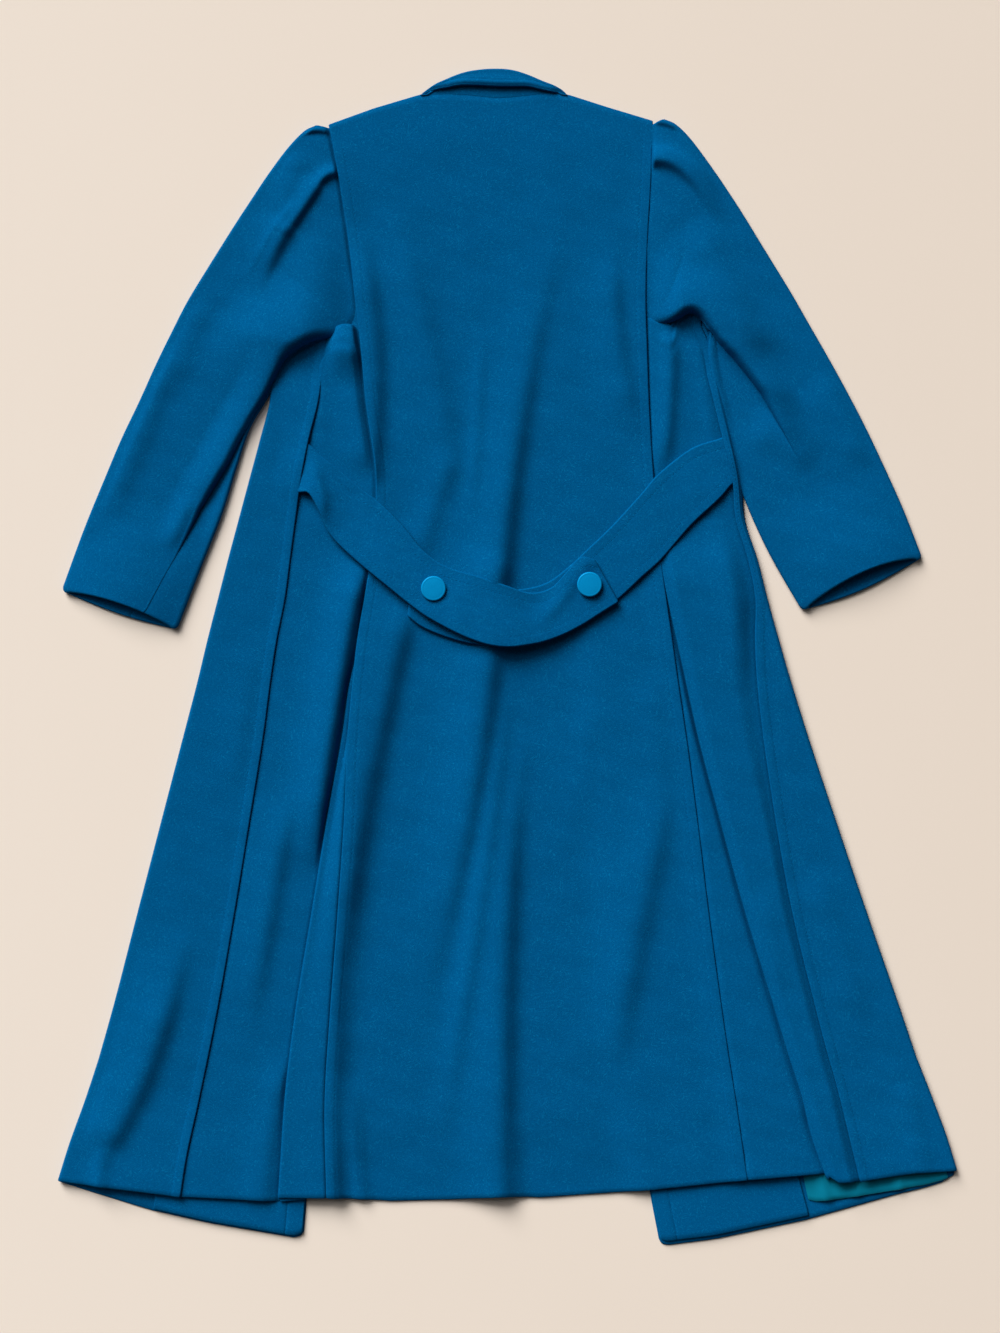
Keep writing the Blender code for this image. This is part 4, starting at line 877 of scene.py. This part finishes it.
CREST_STATIONS = {"left": (6.6, 13.2), "right": (6.3, 11.6)}
CREST_GROWTH, CREST_FADE = 1.6, 2.0
CREST_HEIGHT = {"left": 7.0, "right": 12.5}
CREST_CURL = {"left": 5.5, "right": 8.0}
CREST_HOLLOW, CREST_HOLLOW_RUN = {"left": 2.4, "right": 4.0}, 12.0
CREST_WIDTH, CREST_FOOT = 34.0, 3.0
ARCH_STATIONS, ARCH_SMOOTH = (3.4, 10.0, 91), 9
ARCH_GROWTH, ARCH_FADE, ARCH_BACK_GAP = (4.4, 0.6), (9.6, -2.6), 4.0
ARCH_TOP = 22.0
ARCH_ROLL = {"left": 12.0, "right": 9.0}
ARCH_EASE = {"left": 85.0, "right": 65.0}
ARCH_CLEAR = {"left": 62.0, "right": 38.0}
ARMHOLE_LEVELS = (594, 555, 507, 455, 412, 394, 382, 373)
ARMHOLE_GAP = 5.0
ARMHOLE_DIP, ARMHOLE_DIP_REACH = {"left": 2.2, "right": 0.2}, 9.0
SEWN_RAMP = 0.94, 0.06
SLEEVE_OUTER_EASE, SLEEVE_INNER_EASE = 0.12, 7.0
TUCK, TUCK_LEAST = 8.0, 1.5
TUCK_DROP, TUCK_SEWN_DROP = 0.6, 1.8
UNDER_LAP, UNDER_CREST_LAP, UNDER_SEAM_LAP, UNDER_LOWEST = 1.5, 7.0, 0.4, 3.0
GROOVE, CREST_GROOVE, GROOVE_WIDTH = 0.5, 1.5, 8.0
CUFF_STATIONS, CORNER_STATIONS, CUFF_CORNER = 2.0, 0.08, 4.5
CUFF_RISE = {"left": 8.5, "right": 14.0}
CUFF_DROP = {"left": 3.5, "right": 6.0}
CUFF_RISE_POWER = 0.7
CUFF_LIFT, CUFF_BED = 8.0, 2.0
CUFF_FINE = 0.1


def sleeve_lines(side, station):
    """Lines along a sleeve at fine stations: outer fold, inner end, low end, seam shares, heights and tuck.

    Fold and ends are smooth curves through the table's rows, and seams and heights are straight runs. At the
    cuff both ends are pulled in along a quarter circle, which rounds its corners.
    """
    sizes = dict(SLEEVES[side], **SLEEVE_LAYERS, station=np.arange(len(SLEEVE_LAYERS["loft"]), dtype=float))
    first, last = len(ARMHOLE_LEVELS), sizes["station"][-1]
    lines = {name: along(station, sizes, name, "station")
             for name in ("outer_x", "outer_y", "inner_x", "inner_y", "loft")}
    for name in ("back_seam", "front_seam", "inner_height"):
        lines[name] = np.interp(station, sizes["station"], sizes[name])
    armhole = {"y": np.array(ARMHOLE_LEVELS, float)}
    armhole["x"] = along(armhole["y"], FRONTS, side + "_armhole") + OUTWARD[side] * ARMHOLE_GAP
    for axis in "xy":
        outer, inner = sizes["outer_" + axis][first:], sizes["inner_" + axis][first:]
        seam = outer + (inner - outer) * sizes["front_seam"][first:]
        lines["low_" + axis] = np.interp(station, sizes["station"], np.concatenate([armhole[axis], seam]))
    crest_start, crest_end = CREST_STATIONS[side]
    lines["crest"] = ramp(station, crest_start, CREST_GROWTH) * ramp(station, crest_end, -CREST_FADE)
    lines["arm"] = ramp(station, *ARCH_FADE)
    lines["arch"] = ramp(station, *ARCH_GROWTH) * lines["arm"]
    lines["at_cuff"] = ramp(station - last, -CUFF_STATIONS, CUFF_STATIONS)
    lines["front_share"] = np.where(station < first - 1, 1, lines["front_seam"])
    length = np.hypot(lines["inner_x"] - lines["outer_x"], lines["inner_y"] - lines["outer_y"])
    corner = CUFF_CORNER * (1 - np.sqrt(1 - np.clip((station - last) / CORNER_STATIONS + 1, 0, 1) ** 2))
    for axis in "xy":
        pull = (lines["inner_" + axis] - lines["outer_" + axis]) * corner / length
        lines["outer_" + axis] = lines["outer_" + axis] + pull
        lines["inner_" + axis] = lines["inner_" + axis] - pull
    lines["length"] = length - 2 * corner
    return {name: line[:, None] for name, line in lines.items()}


def sleeve_spot(lines, share, end="inner"):
    """Points at shares of the way from the outer fold line to another line."""
    return [lines["outer_" + axis] + (lines[f"{end}_{axis}"] - lines["outer_" + axis]) * share
            for axis in "xy"]


def sleeve_top(side, lines, share, x, y):
    """Height of the upper layer: from the outer fold to the inner end, crowned, with folds and open cuff."""
    outer = FLOOR_LAYER + 2 * SLEEVE_RADIUS
    crown = (lines["loft"] + CUFF_LIFT * lines["at_cuff"]) * np.sin(math.pi * np.clip(share, 0, 1))
    relief = fold_relief(x, y, SLEEVE_FOLDS[side]) + slack(x, y)
    relief = relief * smoothstep(share / SLEEVE_OUTER_EASE)
    relief = relief * smoothstep((1 - share) * lines["length"] / SLEEVE_INNER_EASE)
    return outer + (lines["inner_height"] - outer) * smoothstep(share) + crown + relief


def arch_share(side, lines, x, y):
    """Share of the underarm roll's height: a quarter ellipse up from its edge, then a long ease away from it.

    The edge is the back seam's line, smoothed, with no height beyond it. The roll dies away towards the
    centre back and down the arm.
    """
    edge_lines = sleeve_lines(side, np.linspace(*ARCH_STATIONS))
    window = np.ones(ARCH_SMOOTH) / ARCH_SMOOTH
    edge = np.stack([np.convolve(line[:, 0], window, mode="valid")
                     for line in sleeve_spot(edge_lines, edge_lines["back_seam"])], axis=-1)
    distance = np.maximum(beside(x, y, edge)[0] * OUTWARD[side], 0)
    roll = np.sqrt(1 - (1 - np.clip(distance / ARCH_ROLL[side], 0, 1)) ** 2)
    ease = 1 - ramp(distance, ARCH_ROLL[side], ARCH_EASE[side])
    clear = ramp(np.abs(x - along(y, BACK, side)), ARCH_BACK_GAP, ARCH_CLEAR[side])
    return roll * ease * clear * lines["arm"]


def cuff_edge(side, lines, share, y, upper):
    """Move the cuff's edge: the upper layer is a little shorter, the lower one a little longer."""
    wave = np.sin(math.pi * np.clip(share, 0, 1))
    if upper:
        return y + CUFF_RISE[side] * lines["at_cuff"] * wave ** CUFF_RISE_POWER
    return y - CUFF_DROP[side] * lines["at_cuff"] * wave


def sleeve_fold(length, centre, way):
    """Shares and heights round one pressed edge of the sleeve."""
    turn = half_turn(10)
    share = centre + way * SLEEVE_RADIUS / length * np.cos(turn)
    return share, FLOOR_LAYER + SLEEVE_RADIUS * (1 + np.sin(turn)) + 0 * share


def top_sleeve_surface(side):
    """Middle points of a top sleeve: layer on the surface, outer fold, upper layer and tuck at its end."""
    last = len(SLEEVE_LAYERS["loft"]) - 1
    ends = (0, 100), (5, 50), (8, 80), (last - CUFF_FINE, 9)
    stations = [np.linspace(start, end, count, endpoint=False)
                for (start, count), (end, _) in zip(ends, ends[1:] + ((last, 0),))]
    lines = sleeve_lines(side, np.concatenate(stations + [[last]]))
    length, seam = lines["length"], lines["back_seam"]
    rim = SLEEVE_RADIUS / length
    low_share = 1 + (rim - 1) * np.linspace(0, 1, 14)[None, :]
    low_x, low_y = sleeve_spot(lines, low_share, "low")
    low_y = cuff_edge(side, lines, low_share * lines["front_share"], low_y, upper=False)
    low_z = FLOOR_LAYER + CUFF_BED * lines["at_cuff"] * np.sin(math.pi * low_share * lines["front_share"])
    fold_share, fold_z = sleeve_fold(length, rim, -1)
    fold_x, fold_y = sleeve_spot(lines, fold_share)
    curl = np.maximum(CREST_CURL[side] * lines["crest"], ARCH_ROLL[side] * lines["arch"])
    high_share = rim + (seam - curl / length - rim) * np.linspace(0, 1, 72)[None, :]
    high_x, high_y = sleeve_spot(lines, high_share)
    inset = (seam - high_share) * length
    crest = CREST_HEIGHT[side] * lines["crest"] * smoothstep(1 - (inset - curl) / CREST_WIDTH)
    high_z = sleeve_top(side, lines, high_share, high_x, high_y) + crest
    high_y = cuff_edge(side, lines, high_share, high_y, upper=True)

    # Past its end the upper layer goes on under the back's lapped edge, or curls down along the underarm.
    step = np.linspace(0, 1, 15)[None, 1:]
    plain = ramp(seam, *SEWN_RAMP) * (1 - lines["crest"])
    high_z = high_z - ARMHOLE_DIP[side] * plain * smoothstep(1 - inset / ARMHOLE_DIP_REACH)
    reach = TUCK * plain * (1 - lines["arch"]) + curl + TUCK_LEAST
    drop = TUCK_DROP + TUCK_SEWN_DROP * plain + (high_z[:, -1:] - CREST_FOOT) * lines["crest"]
    tuck_share = high_share[:, -1:] + reach / length * np.sin(step * math.pi / 2)
    tuck_x, tuck_y = sleeve_spot(lines, tuck_share)
    tuck_y = cuff_edge(side, lines, tuck_share, tuck_y, upper=True)
    tuck_z = high_z[:, -1:] - drop * (1 - np.cos(step * math.pi / 2))
    high_z, tuck_z = (z + (ARCH_TOP - z) * arch_share(side, lines, x, y)
                      for x, y, z in ((high_x, high_y, high_z), (tuck_x, tuck_y, tuck_z)))
    x = np.hstack([low_x, fold_x, high_x, tuck_x])
    y = np.hstack([low_y, fold_y, high_y, tuck_y])
    z = np.maximum(np.hstack([low_z, fold_z, high_z, tuck_z]), FLOOR_LAYER)
    return np.stack([x, y, z], axis=-1)


def under_sleeve_surface(side):
    """Middle points of an under sleeve: upper layer from the back seam, inner fold, layer on the surface."""
    first, last = len(ARMHOLE_LEVELS) - 1, len(SLEEVE_LAYERS["loft"]) - 1
    stations = np.linspace(first, last - CUFF_FINE, 90), np.linspace(last - CUFF_FINE, last, 9)[1:]
    lines = sleeve_lines(side, np.concatenate(stations))
    length, seam = lines["length"], lines["back_seam"]
    rim = SLEEVE_RADIUS / length
    start = np.minimum(seam - (UNDER_LAP + UNDER_CREST_LAP * lines["crest"]) / length, 1 - 2 * rim)
    high_share = start + (1 - rim - start) * np.linspace(0, 1, 30)[None, :]
    high_x, high_y = sleeve_spot(lines, high_share)
    arch = lines["inner_height"] - FLOOR_LAYER - 2 * SLEEVE_RADIUS
    groove = GROOVE + CREST_GROOVE * lines["crest"]
    groove = groove * np.exp(-((high_share - seam) * length / GROOVE_WIDTH) ** 2)
    hollow = smoothstep((1 - rim - high_share) * length / CREST_HOLLOW_RUN)
    hollow = CREST_HOLLOW[side] * lines["crest"] * hollow
    high_z = sleeve_top(side, lines, high_share, high_x, high_y) - arch * smoothstep(high_share)
    high_z = np.maximum(high_z - groove - hollow, UNDER_LOWEST)
    high_y = cuff_edge(side, lines, high_share, high_y, upper=True)
    fold_share, fold_z = sleeve_fold(length, 1 - rim, 1)
    fold_x, fold_y = sleeve_spot(lines, fold_share[:, ::-1])
    low_end = lines["front_seam"] + UNDER_SEAM_LAP / length
    low_share = 1 - rim + (low_end - 1 + rim) * np.linspace(0, 1, 10)[None, :]
    low_x, low_y = sleeve_spot(lines, low_share)
    low_y = cuff_edge(side, lines, low_share, low_y, upper=False)
    low_z = FLOOR_LAYER + CUFF_BED * lines["at_cuff"] * np.sin(math.pi * low_share)
    x = np.hstack([high_x, fold_x, low_x])
    y = np.hstack([high_y, fold_y, low_y])
    z = np.hstack([high_z, fold_z[:, ::-1], low_z])
    return np.stack([x, y, z], axis=-1)


for side in OUTWARD:
    sew(f"{side}_top_sleeve", top_sleeve_surface(side), *TOP_CUT[side], ["floor"])
    sew(f"{side}_under_sleeve", under_sleeve_surface(side), *UNDER_CUT[side], ["floor"])

# Collar
# The collar is a stand sewn to the neck and a doubled fall that turns down over it. The fall's free edge is
# topstitched close in, and stands a little clear of the back.
COLLAR_LAYER = 5.8
COLLAR_CLOTH, COLLAR_RADIUS = 2.6, 1.1
COLLAR_STAND_GAP, COLLAR_STAND_LEAST, COLLAR_STAND_RAMP = 0.3, 0.4, (0.55, 0.45)
COLLAR_STITCH, COLLAR_GROOVE, COLLAR_GROOVE_RUN = 6.0, 0.35, 9.0
COLLAR_STAND_OFF, COLLAR_STAND_OFF_RUN = 3.2, 12.0
COLLAR_TURN_DOWN, COLLAR_TURN_DOWN_RUN = 1.8, 4.0
COLLAR_TIP, COLLAR_SUNK, COLLAR_TAPER, COLLAR_TAPER_LEAST = 18.0, 3.4, 8.0, 0.08
COLLAR_SEAM = {"stand": 4.4, "fall": 2.9}
COLLAR = table(
    "x neck fold edge",
    (-97, 631, 631.6, 631.2), (-88, 631.6, 638.2, 635.8), (-79, 632, 644, 638.3), (-67, 632.2, 649.6, 640.3),
    (-54, 631.7, 654.8, 642.6), (-44, 631, 657.6, 642.8), (-32, 629.8, 659.5, 642.5),
    (-14, 627.8, 660.6, 641.5), (5, 628.7, 659.2, 641.3), (24, 630.8, 653.4, 641), (38, 632.5, 647.4, 638),
    (52, 632.2, 641.8, 635.2), (60, 632, 637.4, 634.0), (66.5, 631, 631.8, 631.4))


def collar_lines():
    """Neck seam, folded top line and free edge at fine steps along the collar."""
    x = np.linspace(COLLAR["x"][0], COLLAR["x"][-1], 90)[None, :]
    return x, [along(x, COLLAR, column, "x") for column in ("neck", "fold", "edge")]


def collar_stand_surface():
    """Middle points of the stand: from the neck seam up to just under the folded top line."""
    x, (neck, fold, _) = collar_lines()
    share = np.linspace(0, 1, 16)[:, None]
    low = neck + COLLAR_STAND_GAP
    high = np.maximum(fold - COLLAR_SEAM["stand"], low + COLLAR_STAND_LEAST)
    z = NECK_LAYER + (COLLAR_LAYER - NECK_LAYER) * ramp(share, *COLLAR_STAND_RAMP)
    return np.stack(np.broadcast_arrays(x, low + (high - low) * share, z), axis=-1)


def collar_fall_surface():
    """Middle points of the fall: half a turn over the top line, then down to the stitched free edge."""
    x, (_, fold, edge) = collar_lines()
    turn = np.radians(np.linspace(-90, 90, 12))[:, None]
    taper = np.clip((fold - edge) / COLLAR_TAPER, COLLAR_TAPER_LEAST, 1)
    centre = fold - (CLOTH / 2 + COLLAR_RADIUS) * taper
    turn_y = centre + COLLAR_RADIUS * taper * np.cos(turn)
    turn_y = np.maximum(turn_y, fold - COLLAR_SEAM["fall"] * taper)
    turn_z = COLLAR_LAYER + COLLAR_RADIUS * (1 + np.sin(turn)) + 0 * x
    down = np.linspace(0, 1, 26)[1:, None]
    fall_y = centre + (edge - centre) * down
    groove = COLLAR_GROOVE * np.exp(-(fall_y - edge - COLLAR_STITCH) ** 2)
    groove = groove * smoothstep((centre - edge) / COLLAR_GROOVE_RUN)
    stand_off = COLLAR_STAND_OFF * smoothstep(down) * smoothstep((centre - edge) / COLLAR_STAND_OFF_RUN)
    turn_down = COLLAR_TURN_DOWN * smoothstep((edge + COLLAR_TURN_DOWN_RUN - fall_y) / COLLAR_TURN_DOWN_RUN)
    fall_z = COLLAR_LAYER + 2 * COLLAR_RADIUS + stand_off - turn_down - groove
    tips = smoothstep(np.minimum(x - x[0, 0], x[0, -1] - x) / COLLAR_TIP)
    z = COLLAR_SUNK + (np.vstack([turn_z, fall_z]) - COLLAR_SUNK) * tips
    return np.stack(np.broadcast_arrays(x, np.vstack([turn_y, fall_y]), z), axis=-1)


sew("collar_stand", collar_stand_surface(), (0.165, 0.030), 0.0032, ["back_panel"])
sew("collar_fall", collar_fall_surface(), (0.165, 0.032), 0.0032, ["collar_stand"], thick=COLLAR_CLOTH)

# Back belt
# The belt is two doubled strips of wool, caught in the side seams and buttoned one over the other. It hangs
# in a slack curve across the back, lies on the panels and lifts off them between the folds.
BELT_CLOTH = 2.6
BELT_COLUMNS = "top_x top_y low_x low_y top_lift low_lift"
BELTS = {
    "right": table(
        BELT_COLUMNS,
        (245, 248, 256.5, 197, 0.3, 0.5), (237, 244, 250, 194, 0.5, 1.6), (206, 233, 236, 178, 0.6, 2.8),
        (170, 205, 205, 149, 0.8, 2.2), (151, 183, 172, 111, 0.8, 1.8), (118, 147, 150, 91, 0.6, 2.0),
        (92, 122, 123, 66, 0.5, 1.4), (66, 98, 88, 41, 0.4, 1.0), (40, 81, 55, 24, 0.4, 1.0),
        (5, 75, 10, 14, 0.4, 1.0), (-32, 82, -30, 15, 0.4, 1.0), (-66, 94, -62, 22, 0.4, 1.5),
        (-94, 100, -94, 34.5, 0.4, 1.5), (-106, 95, -111, 47, 0.4, 1.5)),
    "left": table(
        BELT_COLUMNS,
        (-232, 243, -242, 188.5, 0.3, 0.5), (-224, 239, -233.6, 186, 0.5, 3.0),
        (-210, 226, -222, 184.5, 1.0, 8.0), (-194, 213, -211, 166, 1.2, 8.0),
        (-178, 200, -201, 143, 1.0, 5.5), (-164, 188, -189, 128, 0.8, 4.5), (-144, 173, -165, 106, 0.6, 5.0),
        (-117.5, 146, -137, 83, 0.6, 4.5), (-94, 118, -108.5, 60, 0.8, 4.0), (-69, 101, -84, 43, 0.6, 5.0),
        (-32, 89.5, -42, 22, 0.6, 4.5), (-5, 80.5, -7, 13, 0.4, 5.5),
        (25, 71.5, 28.5, 16, -1.0, 5.0), (49, 77, 56, 24, -1.5, 3.5), (66, 94, 81.5, 36.5, 1.5, 2.6),
        (81.5, 111, 103, 50, 2.0, 2.2), (97, 109, 123, 62.5, 1.0, 1.8)),
}
BELT_FOLDS = {
    "left": table(
        FOLD_COLUMNS,
        (-222, 232, -206, 190, -204, 150, 3.6, 3, 8, 0.3, 0.3),
        (101, 114, 72, 74, 34, 24, 4, 4, 16, 0.2, 0.3),
        (-40, 96, -46, 60, -56, 20, 1.2, 5, 16, 0.3, 0.3)),
    "right": table(
        FOLD_COLUMNS,
        (214, 240, 212, 205, 218, 165, 1, 4, 12, 0.3, 0.3),
        (160, 200, 168, 165, 182, 126, 1, 4, 12, 0.3, 0.3)),
}
BELT_STEPS = 6
BELT_OVERLAP_START = 7
BELT_SLACK = BELT_STITCHED = 0.6


def lying_height(x, y):
    """Upper face of the panels that the belt crosses: side backs beyond the back's edges, back between."""
    beyond = (x < along(y, BACK, "left")) | (x > along(y, BACK, "right"))
    side = SIDE_LAYER + fold_relief(x, y, SIDE_FOLDS)
    return CLOTH / 2 + np.where(beyond, side, back_height(x, np.clip(y, HEM_LEVEL, SHOULDER_LEVEL)))


def belt_surface(side, under=None):
    """Middle points of a belt half: straight across, at the highest thing under a section plus its lift."""
    sizes = dict(BELTS[side], station=np.arange(len(BELTS[side]["top_x"]), dtype=float))
    station = np.linspace(0, sizes["station"][-1], BELT_STEPS * (len(sizes["station"]) - 1) + 1)
    line = {name: along(station, sizes, name, "station")[:, None] for name in BELT_COLUMNS.split()}
    width = np.hypot(line["low_x"] - line["top_x"], line["low_y"] - line["top_y"])
    inset = ruled(0 * width, width, 18)
    share = inset / width
    x = line["top_x"] + (line["low_x"] - line["top_x"]) * share
    y = line["top_y"] + (line["low_y"] - line["top_y"]) * share
    rest, middle = lying_height(x, y).max(axis=1), x.mean(axis=1)
    if under is not None:
        under_x, under_top = under[..., 0].mean(axis=1), under[..., 2].max(axis=1) + BELT_CLOTH / 2
        order = np.argsort(under_x)
        top = np.interp(middle, under_x[order], under_top[order])
        rest = np.maximum(rest, np.where((station < BELT_OVERLAP_START) | (middle > under_x.max()), 0, top))
    window = np.ones(2 * BELT_STEPS + 1) / (2 * BELT_STEPS + 1)
    rest = np.convolve(np.pad(rest, BELT_STEPS, mode="edge"), window, mode="valid")[:, None]
    lift = line["top_lift"] + (line["low_lift"] - line["top_lift"]) * smoothstep(share)
    stitched = seam_band(inset) + seam_band(width - inset)
    relief = fold_relief(x, y, BELT_FOLDS[side]) + BELT_SLACK * slack(2 * x, 2 * y)
    return np.stack([x, y, rest + BELT_CLOTH / 2 + lift + relief + BELT_STITCHED * stitched], axis=-1)


belt_points = {"right": belt_surface("right")}
belt_points["left"] = belt_surface("left", under=belt_points["right"])
for side, points in belt_points.items():
    sew(f"{side}_belt", points, (0.43, 0.068), 0.027, ["back_panel", f"{side}_side_back"], thick=BELT_CLOTH)
    sewn = [points[:, column] for column in (STITCH_COLUMN, -1 - STITCH_COLUMN)]
    topstitch(f"{side}_belt", sewn, BELT_CLOTH)

# Buttons
# Two moulded shank buttons, smooth and slightly domed inside a rounded rim, sewn through both belt halves.
BUTTON_RADIUS = 14.0
BUTTON_CENTRES = {"left": (-82.7, 77.0), "right": (91.7, 81.6)}
BUTTON_PROFILE = table(
    "radius height",
    (0.01, 3.95), (3, 3.94), (6, 3.9), (8.6, 3.82), (10.6, 3.7), (11.4, 3.62), (12.0, 3.68), (12.6, 3.7),
    (13.2, 3.5), (13.7, 2.95), (BUTTON_RADIUS, 2.2), (13.8, 1.4), (13.2, 0.7), (11.5, 0.1), (6, 0), (0.01, 0))


def button_surface(side):
    """Turned button: the profile carried round the centre, seated on the belt under it."""
    x, y = BUTTON_CENTRES[side]
    belt = belt_points["left"]
    under = belt[np.hypot(belt[..., 0] - x, belt[..., 1] - y) < BUTTON_RADIUS][:, 2]
    seat = (under.max() + under.mean()) / 2 + BELT_CLOTH / 2
    angle = np.linspace(0, 2 * math.pi, 72, endpoint=False)[:, None]
    radius, height = BUTTON_PROFILE["radius"][None, :], BUTTON_PROFILE["height"][None, :]
    spots = x + radius * np.cos(angle), y + radius * np.sin(angle), seat + height
    return np.stack(np.broadcast_arrays(*spots), axis=-1)


def turned_piece(name, points):
    """Closed piece from a grid that runs round in rows and down its profile in columns, both poles capped."""
    rows, columns = points.shape[:2]
    index = np.arange(rows * columns).reshape(rows, columns)
    after = np.roll(index, -1, axis=0)
    faces = np.stack([index[:, :-1], index[:, 1:], after[:, 1:], after[:, :-1]], axis=-1).reshape(-1, 4)
    caps = [index[:, 0].tolist(), index[::-1, -1].tolist()]
    return piece_of(name, points.reshape(-1, 3), faces.tolist() + caps)


def button_finish():
    """Moulded blue plastic: even colour with faint clouds and fine polishing marks under a soft gloss."""
    made, tree, spot = finish_of("button_blue")
    cloud = shade(tree, "TexNoise", vector=spot, scale=120.0, detail=2.0).outputs[0]
    marks = shade(tree, "TexNoise", vector=spot, scale=1500.0, detail=2.0).outputs[0]
    surface(tree, {"Base Color": blend(tree, cloud, (0.0008, 0.20, 0.46, 1.0), (0.001, 0.235, 0.52, 1.0)),
                   "Roughness": math_node(tree, "MULTIPLY_ADD", marks, 0.18, 0.3),
                   "Specular IOR Level": 0.4, "Specular Tint": (0.02, 0.6, 1.0, 1.0)})
    return made


polished = button_finish()
for side in BUTTON_CENTRES:
    button = turned_piece(f"plastic_{side}_button", button_surface(side))
    dress(button, polished, f"{side}_button")

# Surface, light and camera
# The coat lies on a plain cream surface. One wide soft light stands beyond the collar, a broad fill hangs
# overhead, and the camera looks straight down.
FLOOR_HALF, FLOOR_DROP = 3.0 / MM, 0.2
FLOOR_CORNERS = (-1, -1), (1, -1), (1, 1), (-1, 1)
CAMERA_HEIGHT = 3.0
VIEW_CENTRE = (-0.0084, -0.0101)
VIEW_LENGTH = 1.4996
LAMPS = {"beyond_collar": (29.0, 34.0, 31.0, 4.5), "broad_fill": (41.0, 52.0, 34.0, 1.2)}
SKY_COLOUR, SKY_POWER = (1.0, 0.98, 0.95, 1.0), 0.05


def floor_finish():
    """Plain matt paper: cream with the faintest clouding, and painted shade that darkens it towards +X."""
    made, tree, spot = finish_of("cream_paper_painted_shade")
    cloud = shade(tree, "TexNoise", vector=spot, scale=5.0, detail=2.0).outputs[0]
    axes = shade(tree, "SeparateXYZ", vector=spot).outputs
    # Painted shade: the colour darkens towards +X in place of light falling off across the paper.
    aside = math_node(tree, "MULTIPLY_ADD", axes["X"], 0.55, 0.32)
    share = math_node(tree, "MULTIPLY_ADD", cloud, 0.1, aside)
    surface(tree, {"Base Color": blend(tree, share, (0.85, 0.745, 0.645, 1.0), (0.76, 0.65, 0.55, 1.0)),
                   "Specular IOR Level": 0.1, "Roughness": 0.95})
    return made


corners = np.array([(x * FLOOR_HALF, y * FLOOR_HALF, -FLOOR_DROP) for x, y in FLOOR_CORNERS])
floor = piece_of("paper_surface", corners, [(0, 1, 2, 3)])
floor.data.materials.append(floor_finish())

for name, (height, spread, aside, power) in LAMPS.items():
    light = bpy.data.lights.new(name, "SUN")
    light.energy = power
    light.angle = math.radians(spread)
    lamp = bpy.data.objects.new(name, light)
    lamp.location = (-0.6, 1.6, 1.2)
    lamp.rotation_euler = (math.radians(height - 90), 0, math.radians(aside))
    bpy.context.scene.collection.objects.link(lamp)
sky = bpy.data.worlds.new("studio")
sky.use_nodes = True
sky.node_tree.nodes["Background"].inputs["Color"].default_value = SKY_COLOUR
sky.node_tree.nodes["Background"].inputs["Strength"].default_value = SKY_POWER
bpy.context.scene.world = sky
bpy.context.scene.view_settings.view_transform = "Standard"

lens = bpy.data.cameras.new("above")
lens.sensor_width = 36.0
lens.lens = lens.sensor_width * CAMERA_HEIGHT / VIEW_LENGTH
camera = bpy.data.objects.new("above", lens)
camera.location = (*VIEW_CENTRE, CAMERA_HEIGHT)
bpy.context.scene.collection.objects.link(camera)
bpy.context.scene.camera = camera
